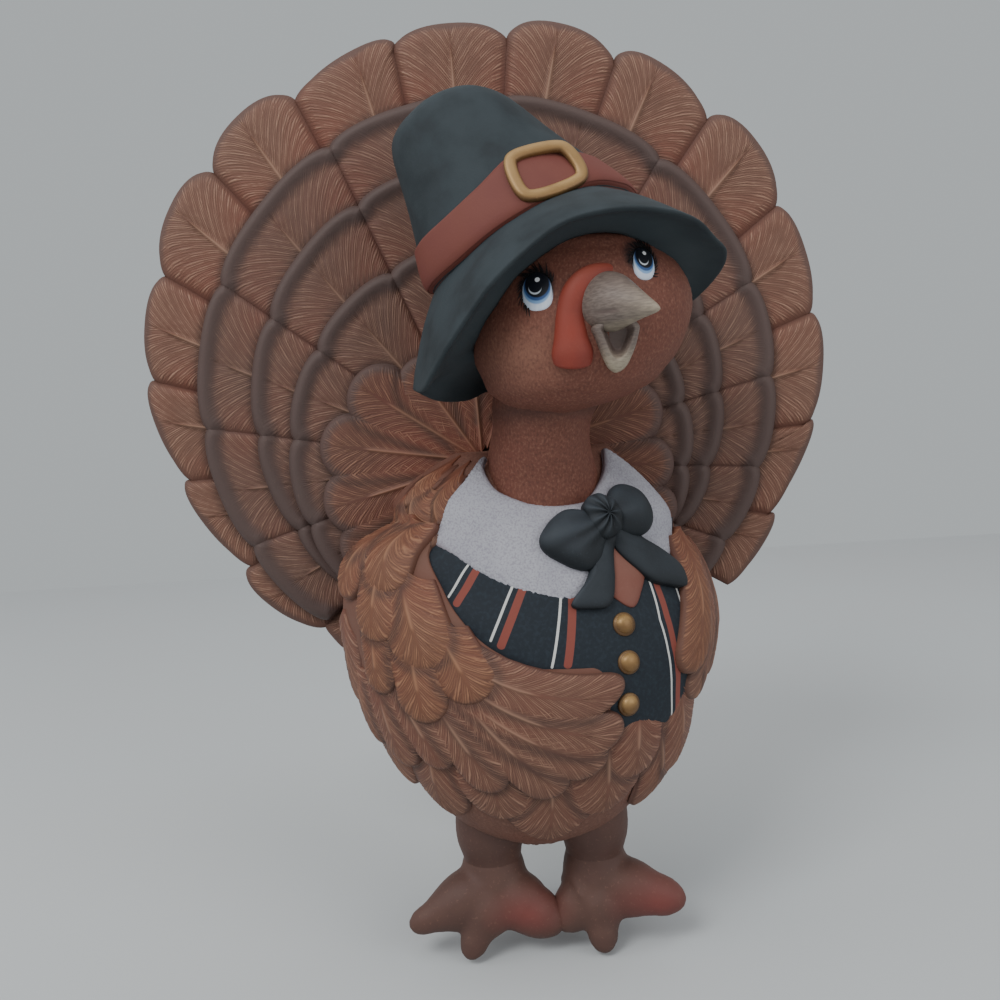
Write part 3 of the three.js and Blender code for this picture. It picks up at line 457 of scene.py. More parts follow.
class ShapeTree(Tree):
    """A geometry tree with named inputs, run once over a mesh and then taken off it."""

    def __init__(self, name: str) -> None:
        """Starts a tree that takes in a geometry."""
        super().__init__(bpy.data.node_groups.new(name, "GeometryNodeTree"))
        self.nodes.interface.new_socket("Geometry", in_out="INPUT", socket_type="NodeSocketGeometry")
        self.nodes.interface.new_socket("Geometry", in_out="OUTPUT", socket_type="NodeSocketGeometry")
        self.entry = self.nodes.nodes.new("NodeGroupInput")
        self.geometry = Field(self, self.entry.outputs[0])

    def number(self, name: str, kind: str = "Float", default: Any = None) -> Field:
        """Adds a named input.

        Args:
            name: what it is called.
            kind: Float, Int, Object or Material.
            default: its value unless it is set.

        Returns:
            The input as a field.
        """
        socket = self.nodes.interface.new_socket(name, in_out="INPUT", socket_type="NodeSocket" + kind)
        if default is not None:
            socket.default_value = default
        return Field(self, next(out for out in self.entry.outputs if out.name == name))

    def mark(self, name: str) -> Field:
        """Reads a mark of the mesh."""
        return self.node("GeometryNodeInputNamedAttribute", {"data_type": "FLOAT"}, name)

    def close(self, geometry: Field) -> None:
        """Ends the tree with real meshes in their paint.

        Args:
            geometry: what the tree has made.
        """
        paint = self.number("Paint", "Material")
        real = self.node("GeometryNodeRealizeInstances", None, geometry)
        painted = self.node("GeometryNodeSetMaterial", None, real, None, paint)
        leave = self.nodes.nodes.new("NodeGroupOutput")
        self.nodes.links.new(painted.socket, leave.inputs[0])

    def emboss(self, crest: Field, level: float, height: Field) -> None:
        """Ends the tree with its mesh pushed out by a crest, which the paint reads too.

        Args:
            crest: from 0 in the grooves to 1 on the ridges.
            level: the crest that stays where it is.
            height: from a groove to a ridge.
        """
        up = self.node("GeometryNodeInputNormal")
        push = self.node("ShaderNodeVectorMath", {"operation": "SCALE"}, up, Scale=(crest - level) * height)
        moved = self.node("GeometryNodeSetPosition", None, self.geometry, None, None, push)
        kept = self.node("GeometryNodeStoreNamedAttribute", {"data_type": "FLOAT"}, moved, None, "crest", crest)
        self.close(kept)

    def run(self, piece: bpy.types.Object, **inputs: Any) -> bpy.types.Object:
        """Runs the tree over a piece and keeps the plain mesh that comes out.

        Args:
            piece: an object at the origin.
            inputs: values of the named inputs, with spaces as underscores.

        Returns:
            The same object with its new mesh.
        """
        modifier = piece.modifiers.new("shape", "NODES")
        modifier.node_group = self.nodes
        for item in self.nodes.interface.items_tree:
            key = item.name.replace(" ", "_")
            if item.in_out == "INPUT" and key in inputs:
                modifier[item.identifier] = inputs[key]
        graph = bpy.context.evaluated_depsgraph_get()
        made = bpy.data.meshes.new_from_object(piece.evaluated_get(graph), depsgraph=graph)
        piece.modifiers.remove(modifier)
        old, piece.data = piece.data, made
        bpy.data.meshes.remove(old)
        made.polygons.foreach_set("use_smooth", [True] * len(made.polygons))
        return piece


class Carving(ShapeTree):
    """Cuts the barbs of feathers: ridges that run from the quill to the edge."""

    def __init__(self) -> None:
        """Builds the tree."""
        super().__init__("carve_barbs")
        height = self.number("Height", default=0.3 * MM)
        wobble = self.number("Wobble", default=0.5)
        seed = self.number("Seed", default=0.0)
        place = self.node("GeometryNodeInputPosition")
        noise = {"noise_dimensions": "4D"}
        drift = self.node("ShaderNodeTexNoise", noise, place, seed, 75.0, 2.0)
        strength = self.node("ShaderNodeTexNoise", noise, place, seed + 4.0, 120.0, 2.0)
        phase = self.mark("barb") + (drift - 0.5) * wobble * 4.0
        ridges = (phase, phase * 2.0 + (strength - 0.5) * 2.0)
        first, second = (1.0 - (r.math("FRACT") - 0.5).math("ABSOLUTE") * 2.0 for r in ridges)
        crest = (first**2.0 * 0.75 + second**1.5 * 0.4) * strength.step(0.0, 0.55) * self.mark("carve")
        self.emboss(crest, 0.3, height)


class Stippling(ShapeTree):
    """Roughens a skin all over with small uneven dabs."""

    def __init__(self) -> None:
        """Builds the tree."""
        super().__init__("stipple_skin")
        height = self.number("Height", default=0.15 * MM)
        grain = self.number("Grain", default=700.0)
        place = self.node("GeometryNodeInputPosition")
        dab = self.node("ShaderNodeTexNoise", None, place, grain, 2.0)
        crest = dab.step(0.3, 0.7) * self.mark("carve")
        self.emboss(crest, 0.4, height)


class Sweeping(ShapeTree):
    """Sweeps a round rod along edges, as thick as their girth mark says."""

    def __init__(self) -> None:
        """Builds the tree."""
        super().__init__("sweep_rods")
        sides = self.number("Sides", "Int", 8)
        line = self.node("GeometryNodeMeshToCurve", None, self.geometry)
        round_ = self.node("GeometryNodeCurvePrimitiveCircle", None, sides, Radius=MM)
        rods = self.node("GeometryNodeCurveToMesh", None, line, round_, self.mark("girth"), True)
        self.close(rods)


class Repeating(ShapeTree):
    """Sets one body at every point of a mesh, turned and sized by the points' marks."""

    def __init__(self) -> None:
        """Builds the tree."""
        super().__init__("repeat_body")
        body = self.number("Body", "Object")
        shape = self.node("GeometryNodeObjectInfo", {"transform_space": "ORIGINAL"}, body, out="Geometry")
        turn = self.node("ShaderNodeCombineXYZ", None, *(self.mark(f"turn_{axis}") for axis in "xyz"))
        size = self.mark("size")
        way = self.node("FunctionNodeEulerToRotation", None, turn)
        copies = self.node("GeometryNodeInstanceOnPoints", None, self.geometry, Instance=shape, Rotation=way,
                           Scale=self.node("ShaderNodeCombineXYZ", None, size, size, size))
        self.close(copies)


# ---- Paints ----


class Paint(Tree):
    """A material of matt or glossy paint over fired clay."""

    def __init__(self, name: str, rough: float = 0.7) -> None:
        """Starts the material and finds its shader's place.

        Args:
            name: the material's name.
            rough: how matt it is.
        """
        self.material = bpy.data.materials.new(name)
        self.material.use_nodes = True
        super().__init__(self.material.node_tree)
        self.shader = self.nodes.nodes["Principled BSDF"]
        self.shader.inputs["Roughness"].default_value = rough
        self.shader.inputs["Specular IOR Level"].default_value = 0.35
        self.place = self.node("ShaderNodeTexCoord", out="Object")
        self.colour: Any = (0.0, 0.0, 0.0)

    def coat(self, share: Any, colour: Any, ground: Triple | None = None) -> None:
        """Brushes a colour over what is there, or over a new ground.

        Args:
            share: how much it covers, held between 0 and 1.
            colour: the new colour.
            ground: the first colour of all, for the first coat.
        """
        self.colour = self.mix(share, self.colour if ground is None else ground, colour)

    def mark(self, name: str) -> Field:
        """Reads a mark of the mesh."""
        return self.node("ShaderNodeAttribute", {"attribute_name": name}, out="Fac")

    def noise(self, scale: float, detail: float = 3.0, stretch: Sequence[float] = (1, 1, 1)) -> Field:
        """Cloudy noise over the object.

        Args:
            scale: how fine it is, per metre.
            detail: how many finer layers it has.
            stretch: how much finer it is along x, y and z.

        Returns:
            A value round one half.
        """
        where = self.node("ShaderNodeVectorMath", {"operation": "MULTIPLY"}, self.place, tuple(stretch))
        return self.node("ShaderNodeTexNoise", None, where, scale, detail)

    def near(self, centre: Sequence[float], reach: Sequence[float]) -> Field:
        """How far a place is from a centre, as a share of a reach each way.

        Args:
            centre: x, depth and z in millimetres.
            reach: the same three ways.

        Returns:
            0 at the centre and 1 at the reach.
        """
        world = (centre[0] * MM, -centre[1] * MM, (centre[2] - NAIL_HEIGHT) * MM)
        away = self.node("ShaderNodeVectorMath", {"operation": "SUBTRACT"}, self.place, world)
        size = tuple(1 / (r * MM) for r in reach)
        scaled = self.node("ShaderNodeVectorMath", {"operation": "MULTIPLY"}, away, size)
        return self.node("ShaderNodeVectorMath", {"operation": "LENGTH"}, scaled, out="Value")

    def close(self, bump: Field | None = None, deep: float = 0.1) -> bpy.types.Material:
        """Gives the shader its colour and fine relief.

        Args:
            bump: a height from 0 to 1.
            deep: the height in millimetres.

        Returns:
            The material.
        """
        self.feed(self.shader.inputs["Base Color"], self.colour)
        if bump is not None:
            normal = self.node("ShaderNodeBump", None, 1.0, deep * MM, Height=bump)
            self.feed(self.shader.inputs["Normal"], normal)
        return self.material


def rgb(red: int, green: int, blue: int) -> Triple:
    """A colour as it is seen, turned into the light that the shader works in."""
    shares = [value / 255 for value in (red, green, blue)]
    return tuple(s / 12.92 if s <= 0.04045 else ((s + 0.055) / 1.055) ** 2.4 for s in shares)


@dataclass(frozen=True)
class FeatherPaint:
    """Brown paint with light dry-brushed barbs, dark airbrushed tips, a warm glow at the roots, and painted shade in
    its seams, in the grooves between barbs and round the feathers that lie above.
    """

    name: str
    base: Triple = rgb(112, 78, 64)
    light: Triple = rgb(172, 136, 114)
    deep: Triple = rgb(66, 46, 41)
    band: Triple = rgb(82, 66, 62)
    glow: Triple = rgb(124, 64, 48)
    brushed: float = 0.86

    def material(self) -> bpy.types.Material:
        """Mixes the paint."""
        paint = Paint(self.name, 0.62)
        cloud, speck = paint.noise(38.0, 4.0), paint.noise(900.0, 2.0)
        crest, dark, root = paint.mark("crest"), paint.mark("dark"), paint.mark("root")
        paint.coat(cloud.step(0.3, 0.75) * 0.22, self.glow, self.base)
        paint.coat(root * (0.6 + cloud * 0.5), self.glow)
        # Painted shade in the seams between feathers, from the hollow mark.
        paint.coat(paint.mark("hollow") * 0.7, self.deep)
        paint.coat(dark * (0.85 + cloud * 0.25), self.band)
        # Painted shadow round the feathers that lie above; it also dims the dry brush there.
        wash = paint.mark("wash")
        paint.coat(wash * 0.75, self.deep)
        brush = crest.step(0.3, 0.8) * self.brushed * (1.0 - dark * 0.8) * (1.0 - wash * 0.7)
        paint.coat(brush, self.light)
        paint.coat(paint.mark("quill") * (0.62 - dark * 0.4), self.light)
        # Painted shade in the grooves between the barbs.
        painted_groove_shade = (1.0 - crest.step(0.0, 0.45)) * paint.mark("carve") * 0.42
        paint.coat(painted_groove_shade, self.deep)
        drift, broken = paint.noise(160.0, 3.0), paint.noise(230.0, 2.0)
        hair = ((paint.mark("barb") * 2.0 + drift * 5.0).math("FRACT") - 0.5).math("ABSOLUTE") * 2.0
        stroke = (1.0 - hair.step(0.05, 0.5)) * (broken.step(0.3, 0.7) * 0.4 + 0.45) * paint.mark("carve")
        paint.coat(stroke * self.brushed * 0.6 * (1.0 - dark * 0.7), self.light)
        paint.coat(speck.step(0.62, 0.8) * 0.12, self.light)
        return paint.close(speck, 0.05)


@dataclass(frozen=True)
class SkinPaint:
    """Red-brown paint over short strokes, with a lighter cheek and dark smudges round the eyes."""

    name: str = "short_haired_skin"
    base: Triple = rgb(108, 66, 54)
    light: Triple = rgb(146, 104, 85)
    deep: Triple = rgb(72, 46, 40)
    smudge: Triple = rgb(34, 24, 26)

    def material(self, eyes: Sequence["Eye"], cheek: Sequence[float]) -> bpy.types.Material:
        """Mixes the paint.

        Args:
            eyes: which eyes have smudges round them.
            cheek: the middle of the light cheek.

        Returns:
            The material.
        """
        paint = Paint(self.name, 0.7)
        cloud = paint.noise(30.0, 3.0)
        stroke = paint.noise(1150.0, 2.5, (1.0, 1.0, 0.7))
        paint.coat(cloud.step(0.4, 0.7) * 0.5, rgb(120, 68, 54), self.base)
        paint.coat((1.0 - paint.near(cheek, (22, 40, 17))).held() * 0.55, self.light)
        paint.coat(stroke.step(0.5, 0.72) * 0.42, self.light)
        paint.coat((1.0 - stroke.step(0.3, 0.5)) * 0.4, self.deep)
        # Painted shade in the crease round the neck under the head; on the torso the same mark gives a flat darker
        # tone all over.
        paint.coat(paint.mark("hollow"), self.deep)
        for eye in eyes:
            ring = paint.near((eye.x - 0.6, eye.depth, eye.z + 2.6), (8.2, 16, 8.6))
            patchy = (1.0 - ring.step(0.6, 1.05)) * (0.5 + paint.noise(700.0, 2.0) * 0.9)
            paint.coat(patchy * 0.9, self.smudge)
        return paint.close(stroke, 0.2)


@dataclass(frozen=True)
class BrushedPaint:
    """One colour with soft clouds, a painted highlight on what faces up, its third tone in its hollows, and a fine
    grain.
    """

    name: str
    base: Triple
    light: Triple
    deep: Triple
    # Strength of the painted highlight on what faces up.
    sky: float = 0.6
    cloudy: float = 0.4
    rough: float = 0.68
    grain: float = 1100.0
    metal: float = 0.0

    def material(self) -> bpy.types.Material:
        """Mixes the paint."""
        paint = Paint(self.name, self.rough)
        paint.shader.inputs["Metallic"].default_value = self.metal
        cloud, speck = paint.noise(60.0, 4.0), paint.noise(self.grain, 2.0)
        paint.coat(cloud.step(0.3, 0.7) * self.cloudy, self.deep, self.base)
        # Painted highlight on what faces up to the lamps, in the light tone.
        sky = paint.mark("sky") * self.sky * cloud.step(0.2, 0.65)
        paint.coat(sky, self.light)
        # The hollow mark: painted shade in the bow's folds, round the buttons' foot and on the back of the buckle's
        # bar; under the brim the hat's third tone is a pale grey, so there it is painted light.
        paint.coat(paint.mark("hollow") * 0.8, self.deep)
        paint.coat(speck.step(0.6, 0.75) * 0.14, self.light)
        return paint.close(speck, 0.06)


@dataclass(frozen=True)
class CollarPaint:
    """White paint stippled over grey-mauve, with painted shade towards its edges."""

    name: str = "stippled_white"

    def material(self) -> bpy.types.Material:
        """Mixes the paint."""
        paint = Paint(self.name, 0.8)
        dab, cloud = paint.noise(1300.0, 3.0), paint.noise(45.0, 3.0)
        paint.coat(cloud.step(0.3, 0.7) * 0.5, rgb(186, 186, 192), rgb(164, 164, 172))
        paint.coat((1.0 - dab.step(0.36, 0.56)) * 0.42, rgb(126, 118, 132))
        # Painted shade towards the edges, from the hollow mark.
        edge = paint.mark("hollow") * (0.3 + dab * 1.0)
        paint.coat(edge, rgb(106, 88, 94))
        return paint.close(dab, 0.25)


@dataclass(frozen=True)
class EyePaint:
    """A painted eye: a black pupil with a white spark and crescent over a blue iris and white."""

    name: str = "painted_eye"

    def material(self) -> bpy.types.Material:
        """Mixes the paint."""
        paint = Paint(self.name, 0.5)
        u, v = paint.mark("across"), paint.mark("upright")

        def disc(x: float, y: float, wide: float, high: float, soft: float = 0.06) -> Field:
            """1 inside an ellipse of the eye and 0 outside it."""
            far = (((u - x) / wide) ** 2.0 + ((v - y) / high) ** 2.0).math("SQRT")
            return 1.0 - far.step(1.0 - soft, 1.0 + soft)

        streak = paint.noise(900.0, 2.0, (1.0, 1.0, 0.4))
        paint.coat(streak.step(0.3, 0.7) * 0.4, rgb(232, 236, 240), rgb(205, 216, 232))
        paint.coat(disc(0.0, 0.12, 0.88, 0.78), rgb(130, 168, 210))
        paint.coat(disc(0.02, 0.26, 0.86, 0.76), rgb(56, 88, 138))
        paint.coat(disc(0.03, 0.34, 0.78, 0.68), rgb(14, 17, 26))
        crescent = disc(-0.1, 0.16, 0.42, 0.34) * (1.0 - disc(-0.08, 0.27, 0.44, 0.36))
        paint.coat(crescent, rgb(214, 222, 230))
        paint.coat(disc(0.08, 0.56, 0.16, 0.12), rgb(240, 242, 244))
        rim = (u**2.0 + v**2.0).math("SQRT").step(0.9, 0.97) * v.step(-0.5, 0.1)
        paint.coat(rim, rgb(12, 12, 16))
        return paint.close()


@dataclass(frozen=True)
class VestPaint:
    """Blue-black cloth paint, with pairs of white and rust stripes from marks on the mesh."""

    name: str = "striped_vest"

    def material(self) -> bpy.types.Material:
        """Mixes the paint."""
        paint = Paint(self.name, 0.72)
        weave = paint.noise(700.0, 2.0)
        paint.coat(weave.step(0.4, 0.8) * 0.35, rgb(46, 58, 68), rgb(24, 32, 40))
        paint.coat(paint.mark("rust").step(0.42, 0.58), rgb(132, 68, 58))
        paint.coat(paint.mark("white").step(0.4, 0.6), rgb(206, 206, 202))
        # Painted shade where the mesh carries a hollow mark; the vest's mesh carries none.
        paint.coat(paint.mark("hollow") * 0.5, rgb(12, 14, 18))
        return paint.close(weave, 0.06)


@dataclass(frozen=True)
class BeakPaint:
    """Taupe brushed along the beak with cream, and painted shade in the mouth and the nostrils."""

    name: str = "brushed_beak"

    def material(self) -> bpy.types.Material:
        """Mixes the paint."""
        paint = Paint(self.name, 0.5)
        streak = paint.noise(1500.0, 3.0, (0.22, 0.4, 1.2))
        paint.coat(streak.step(0.3, 0.7) * 0.6, rgb(136, 122, 112), rgb(100, 88, 82))
        paint.coat(paint.mark("tip") * (0.1 + streak * 0.9), rgb(186, 174, 150))
        # Painted shade in the nostril slit, and the painted shadow of the upper beak in the mouth.
        paint.coat(paint.mark("hollow") * 0.85, rgb(98, 82, 77))
        return paint.close(streak, 0.1)


@dataclass(frozen=True)
class ClayPaint:
    """Bare fired clay: pale, matt and slightly speckled."""

    name: str = "bare_fired_clay"

    def material(self) -> bpy.types.Material:
        """Mixes the paint."""
        paint = Paint(self.name, 0.85)
        cloud, speck = paint.noise(25.0, 4.0), paint.noise(800.0, 3.0)
        paint.coat(cloud.step(0.3, 0.7) * 0.6, rgb(204, 190, 174), rgb(222, 212, 198))
        paint.coat(speck.step(0.62, 0.74) * 0.5, rgb(160, 140, 124))
        return paint.close(speck, 0.12)


# ---- What feathers lie on ----


@dataclass(frozen=True)
class FanGround:
    """The flat plane of one row of the tail."""

    depth: float

    def rise(self, plan: Array, height: Array) -> Array:
        """Lifts places on the plan off the ground.

        Args:
            plan: x and z.
            height: how far out from the ground.

        Returns:
            x, depth and z.
        """
        return np.stack([plan[..., 0], self.depth + height, plan[..., 1]], -1)


@dataclass(frozen=True)
class BodyGround:
    """The skin of the body, whose plan is the way round it and the height."""

    girth: float = 70.0
    fullness: float = 2.4
    outline: Profile = Profile((
        (-216, -8, 30, 62), (-208, -27, 51, 76), (-197, -40, 64, 86), (-184, -50, 76, 92), (-168, -59, 84, 96),
        (-148, -66, 90, 98), (-127, -70, 95, 96), (-112, -72, 94, 92), (-100, -71, 90, 87), (-87, -66, 83, 82),
        (-77, -50, 81, 78), (-65, -47, 72, 73), (-52, -30, 60, 64), (-44, -14, 52, 56),
    ))

    def skin(self, round_: Array, z: Array) -> Array:
        """Places on the skin.

        Args:
            round_: the way round from the middle of the front.
            z: the height.

        Returns:
            x, depth and z.
        """
        left, right, front = np.moveaxis(self.outline.at(z), -1, 0)
        aside = np.sin(np.clip(round_ / self.girth, -HALF_TURN / 2, HALF_TURN / 2))
        x = (left + right) / 2 + aside * (right - left) / 2
        bulge = np.maximum(1 - np.abs(aside) ** self.fullness, 0) ** (1 / self.fullness)
        return np.stack([x, BACK + (front - BACK) * bulge, z + 0 * x], -1)

    def rise(self, plan: Array, height: Array) -> Array:
        """Lifts places on the plan off the skin.

        Args:
            plan: the way round and the height on the body.
            height: how far out from the skin.

        Returns:
            x, depth and z.
        """
        step = 0.8
        round_ = np.clip(plan[..., 0], -105, 105)
        z = plan[..., 1]
        here = self.skin(round_, z)
        across = self.skin(round_ + step, z) - self.skin(round_ - step, z)
        up = self.skin(round_, z + step) - self.skin(round_, z - step)
        out = np.cross(up, across)
        out /= np.maximum(np.linalg.norm(out, axis=-1), 1e-9)[..., None]
        return here + out * height[..., None]


# ---- Feathers ----

ACROSS = (0, 0.02, 0.045, 0.075, 0.12, 0.2, 0.3, 0.41, 0.52, 0.63, 0.73, 0.81, 0.87, 0.92, 0.96, 1)  # from the quill
SHADOW_REACH = 3.6  # how far the painted shadow runs out from under a feather that lies above


def gap_to(plan: Array, lines: Sequence[Array], reach: float = 6.0) -> Array:
    """How far each place is from the nearest of some lines.

    Args:
        plan: the places.
        lines: rows of points, one set a line.
        reach: the distance beyond which lines are passed over.

    Returns:
        The distances, never more than the reach.
    """
    places = plan.reshape(-1, 2)
    low, high = places.min(0) - reach, places.max(0) + reach
    nearest = np.full(len(places), reach**2)
    for line in lines:
        dots = resample(line, np.linspace(0, 1, int(run_of(line) / 0.9) + 2))
        dots = dots[np.all((dots > low) & (dots < high), axis=1)]
        for part in np.array_split(dots, len(dots) // 40 + 1):
            if len(part):
                away = (places[:, :1] - part[:, 0]) ** 2 + (places[:, 1:] - part[:, 1]) ** 2
                nearest = np.minimum(nearest, away.min(1))
    return np.sqrt(nearest).reshape(plan.shape[:-1])


@dataclass
class Feather:
    """One feather: its outline on each side from the root to the tip, and its quill, all on the plan."""

    left: Array
    right: Array
    quill: Array
    quill_share: float = 0.8  # where the quill ends, as a share of the length
    pitch: float = 2.1  # from one barb to the next
    rim: float = 2.0  # height of the edge
    swell: float = 2.4  # how much higher the middle is
    soft: float = 9.0  # how far in the edge is rounded
    quill_height: float = 0.7  # of the quill above the barbs
    root_drop: float = 1.2  # how much lower the root lies
    bare: float = 3.6  # uncarved stretch along the edge
    bend: float = 0.12  # how much the barbs sweep to the tip
    dark: tuple[float, float] = (0.0, 0.0)  # strength and width of the dark tip
    glow: float = 0.6  # strength of the warm root
    samples: int = 5  # rows of points for each barb
    seam: float = 1.1  # depth of the groove to its neighbours
    lift: float = 0.0  # how far it is raised as a whole
    lobe_from: float = 0.4  # where its free tip begins, as a share of the length
    fan: float = 0.93  # share of the quill that barbs leave from
    roll: float = 0.0  # height of a rolled rim
    rolled: float = 0.0  # width of a rolled rim
    quill_from: float = 0.0  # where the quill begins to show
    quill_girth: float = 0.0  # how much thicker the quill is at its root

    def outline(self) -> Array:
        """The whole edge."""
        return np.concatenate([self.left, self.right[::-1]])

    def add_to(self, clay: Clay, ground: FanGround | BodyGround, above: Sequence["Feather"] = ()) -> None:
        """Models the feather as a closed body.

        Args:
            clay: what it is added to.
            ground: what it lies on.
            above: feathers that lie on it, with a painted shadow left round them.
        """
        length = max(run_of(self.left), run_of(self.right))
        barbs = max(int(length / self.pitch), 6)
        rows = barbs * self.samples
        along = np.linspace(0, 1, rows + 1)
        reach = np.array(ACROSS)
        middle = resample(self.quill, along * self.fan)
        tip_way = unit(self.quill[-1] - self.quill[0])
        plan, far = [], []
        for side in (self.left, self.right):
            edge = resample(side, along)
            barb = edge - middle
            size = np.linalg.norm(barb, axis=1)
            swing = (size * self.bend * (1 - along**3))[:, None] * tip_way
            r = reach[None, :, None]
            plan.append(middle[:, None] + barb[:, None] * r + swing[:, None] * (r * (1 - r) * 2))
            far.append(size[:, None] * (1 - reach[None]))
        grid = np.concatenate([plan[0][:, ::-1], plan[1][:, 1:]], 1)
        inside = np.concatenate([far[0][:, ::-1], far[1][:, 1:]], 1)
        width = np.concatenate([far[0][:, :1] - far[0][:, ::-1], (far[1][:, :1] - far[1])[:, 1:]], 1)
        height = self.relief(along[:, None], inside, width)
        carve = smoothstep(self.bare * 0.25, self.bare, inside) * smoothstep(0.6, 1.8, width)
        tipward = self.tipward(along)[:, None]
        round_tip = inside
        if self.rolled:  # a thick rolled rim round the tip instead of a thin lip
            ends = [resample(side, np.linspace(self.lobe_from + 0.03, 1, 40)) for side in (self.left, self.right)]
            round_tip = gap_to(grid, ends, self.dark[1] + 4)
            bump = np.exp(-(((round_tip - self.rolled * 0.42) / (self.rolled * 0.34)) ** 2))
            height = height + self.roll * (bump - 0.5 * np.exp(-(((round_tip - self.rolled * 1.1) / 1.6) ** 2)))
            carve = carve * smoothstep(self.rolled * 0.6, self.rolled, round_tip)
            tipward = 1 + 0 * tipward
        dark = self.dark[0] * (1 - smoothstep(self.dark[1] * 0.55, self.dark[1] + 0.01, round_tip + 0 * width))
        # Painted shadow: darker within a few millimetres round each feather that lies above.
        wash = 1 - smoothstep(0.0, SHADOW_REACH, gap_to(grid, [feather.outline() for feather in above]))
        turn = along[:, None] * TURN
        wobble = 0.35 * np.sin(turn * 3.1 + width * 0.21) + 0.25 * np.sin(turn * 7.3 - width * 0.34 + length)
        strength = 0.8 + 0.2 * np.sin(turn * barbs * 0.31 + width * 0.16 + length)
        marks = {
            "barb": along[:, None] * barbs + wobble * smoothstep(0, 8, width),
            "carve": carve * strength,
            "dark": dark * tipward,
            "wash": wash,
            # Painted shade along the edges, most where the feather meets its neighbours or lies hidden.
            "hollow": (1 - smoothstep(-0.5, 4.6, inside)) * (0.85 - self.tipward(along)[:, None] * 0.6) + 0 * width,
            "quill": self.quill_mark(along[:, None], width),
            "root": (1 - smoothstep(0.1, 0.75, along))[:, None] * self.glow + 0 * width,
        }
        self.close(clay, ground, grid, height, marks)

    def relief(self, along: Array, inside: Array, width: Array) -> Array:
        """How high the feather stands off its ground.

        Args:
            along: from 0 at the root to 1 at the tip.
            inside: the distance to the edge.
            width: the distance to the quill.

        Returns:
            The height at each place.
        """
        round_ = np.sqrt(1 - (1 - np.clip(inside / self.soft, 0, 1)) ** 2)
        lip = np.sqrt(1 - (1 - np.clip(inside / 1.6, 0, 1)) ** 2)
        valley = self.seam * (1 - smoothstep(-self.soft * 0.25, self.soft * 0.75, inside))
        tipward = self.tipward(along)
        dip = valley * (1 - tipward) + (self.swell + self.rim * 0.35) * (1 - round_) * tipward
        height = self.rim + self.swell - dip - self.rim * 0.45 * (1 - lip) * tipward
        height = height - self.root_drop * (1 - along)
        ridge = self.quill_mark(along, width) - 0.25 * np.exp(-(((width - 2.6) / 1.1) ** 2))
        return height + self.lift + self.quill_height * ridge

    def tipward(self, along: Array) -> Array:
        """0 where the feather is hidden or meets its neighbours and 1 round its tip."""
        return smoothstep(self.lobe_from - 0.06, self.lobe_from + 0.14, along)

    def quill_mark(self, along: Array, width: Array) -> Array:
        """1 on the raised quill, which ends in a point before the tip, and 0 off it."""
        taper = 1 - smoothstep(self.quill_share - 0.16, self.quill_share, along)
        shown = smoothstep(self.quill_from - 0.15, self.quill_from + 0.1, along)
        girth = 0.35 + 0.8 * taper + self.quill_girth * (1 - smoothstep(0.5, self.quill_share, along))
        return np.exp(-((width / girth) ** 2)) * np.minimum(taper * 2, 1) * shown

    def close(self, clay: Clay, ground: FanGround | BodyGround, grid: Array, height: Array,
              marks: dict[str, Array]) -> None:
        """Zips the two sides at the tip and closes the feather behind.

        Args:
            clay: what it is added to.
            ground: what it lies on.
            grid: the plan, from the left edge over the quill to the right edge.
            height: how high each place stands.
            marks: values for the paint.
        """
        rows, columns = height.shape
        index = np.arange(rows * columns).reshape(rows, columns)
        index[-1, columns // 2 + 1:] = index[-1, : columns // 2][::-1]
        quads = np.stack([index[:-1, :-1], index[:-1, 1:], index[1:, 1:], index[1:, :-1]], -1).reshape(-1, 4)
        loop = np.concatenate([index[:, 0], index[-2::-1, -1], index[0, -2:0:-1]])
        flat = grid.reshape(-1, 2)
        front = ground.rise(flat, height.ravel())
        rim = ground.rise(flat[loop], np.zeros(len(loop)))
        heart = ground.rise(flat[loop].mean(0)[None], np.zeros(1))
        first = len(front)
        count = len(loop)
        faces = quads.tolist()
        for k in range(count):
            after = (k + 1) % count
            faces.append([int(loop[k]), int(loop[after]), first + after, first + k])
            faces.append([first + k, first + after, first + count])
        points = np.concatenate([front, rim, heart])
        values = {key: np.concatenate([value.ravel(), value.ravel()[loop], [0.0]]) for key, value in marks.items()}
        values["carve"][first:] = 0
        used = np.unique(np.concatenate([np.array(face) for face in faces if len(face) > 2]))
        renumber = np.full(len(points), -1)
        renumber[used] = np.arange(len(used))
        tidy = [[int(renumber[k]) for k in face] for face in faces]
        clay.add(points[used], tidy, **{key: value[used] for key, value in values.items()})


def arc_lobe(start: Array, apex: Array, end: Array, steps: int = 14) -> tuple[Array, Array]:
    """The rounded end of a feather between two notches.

    Args:
        start: the left notch.
        apex: the top of the lobe.
        end: the right notch.
        steps: how many points each half has.

    Returns:
        The left half and the right half, both up to the apex.
    """
    middle = (start + end) / 2
    bend = np.linspace(0, HALF_TURN / 2, steps)[:, None]
    halves = [middle + (side - middle) * np.cos(bend) ** 0.9 + (apex - middle) * np.sin(bend) for side in (start, end)]
    return halves[0], halves[1]


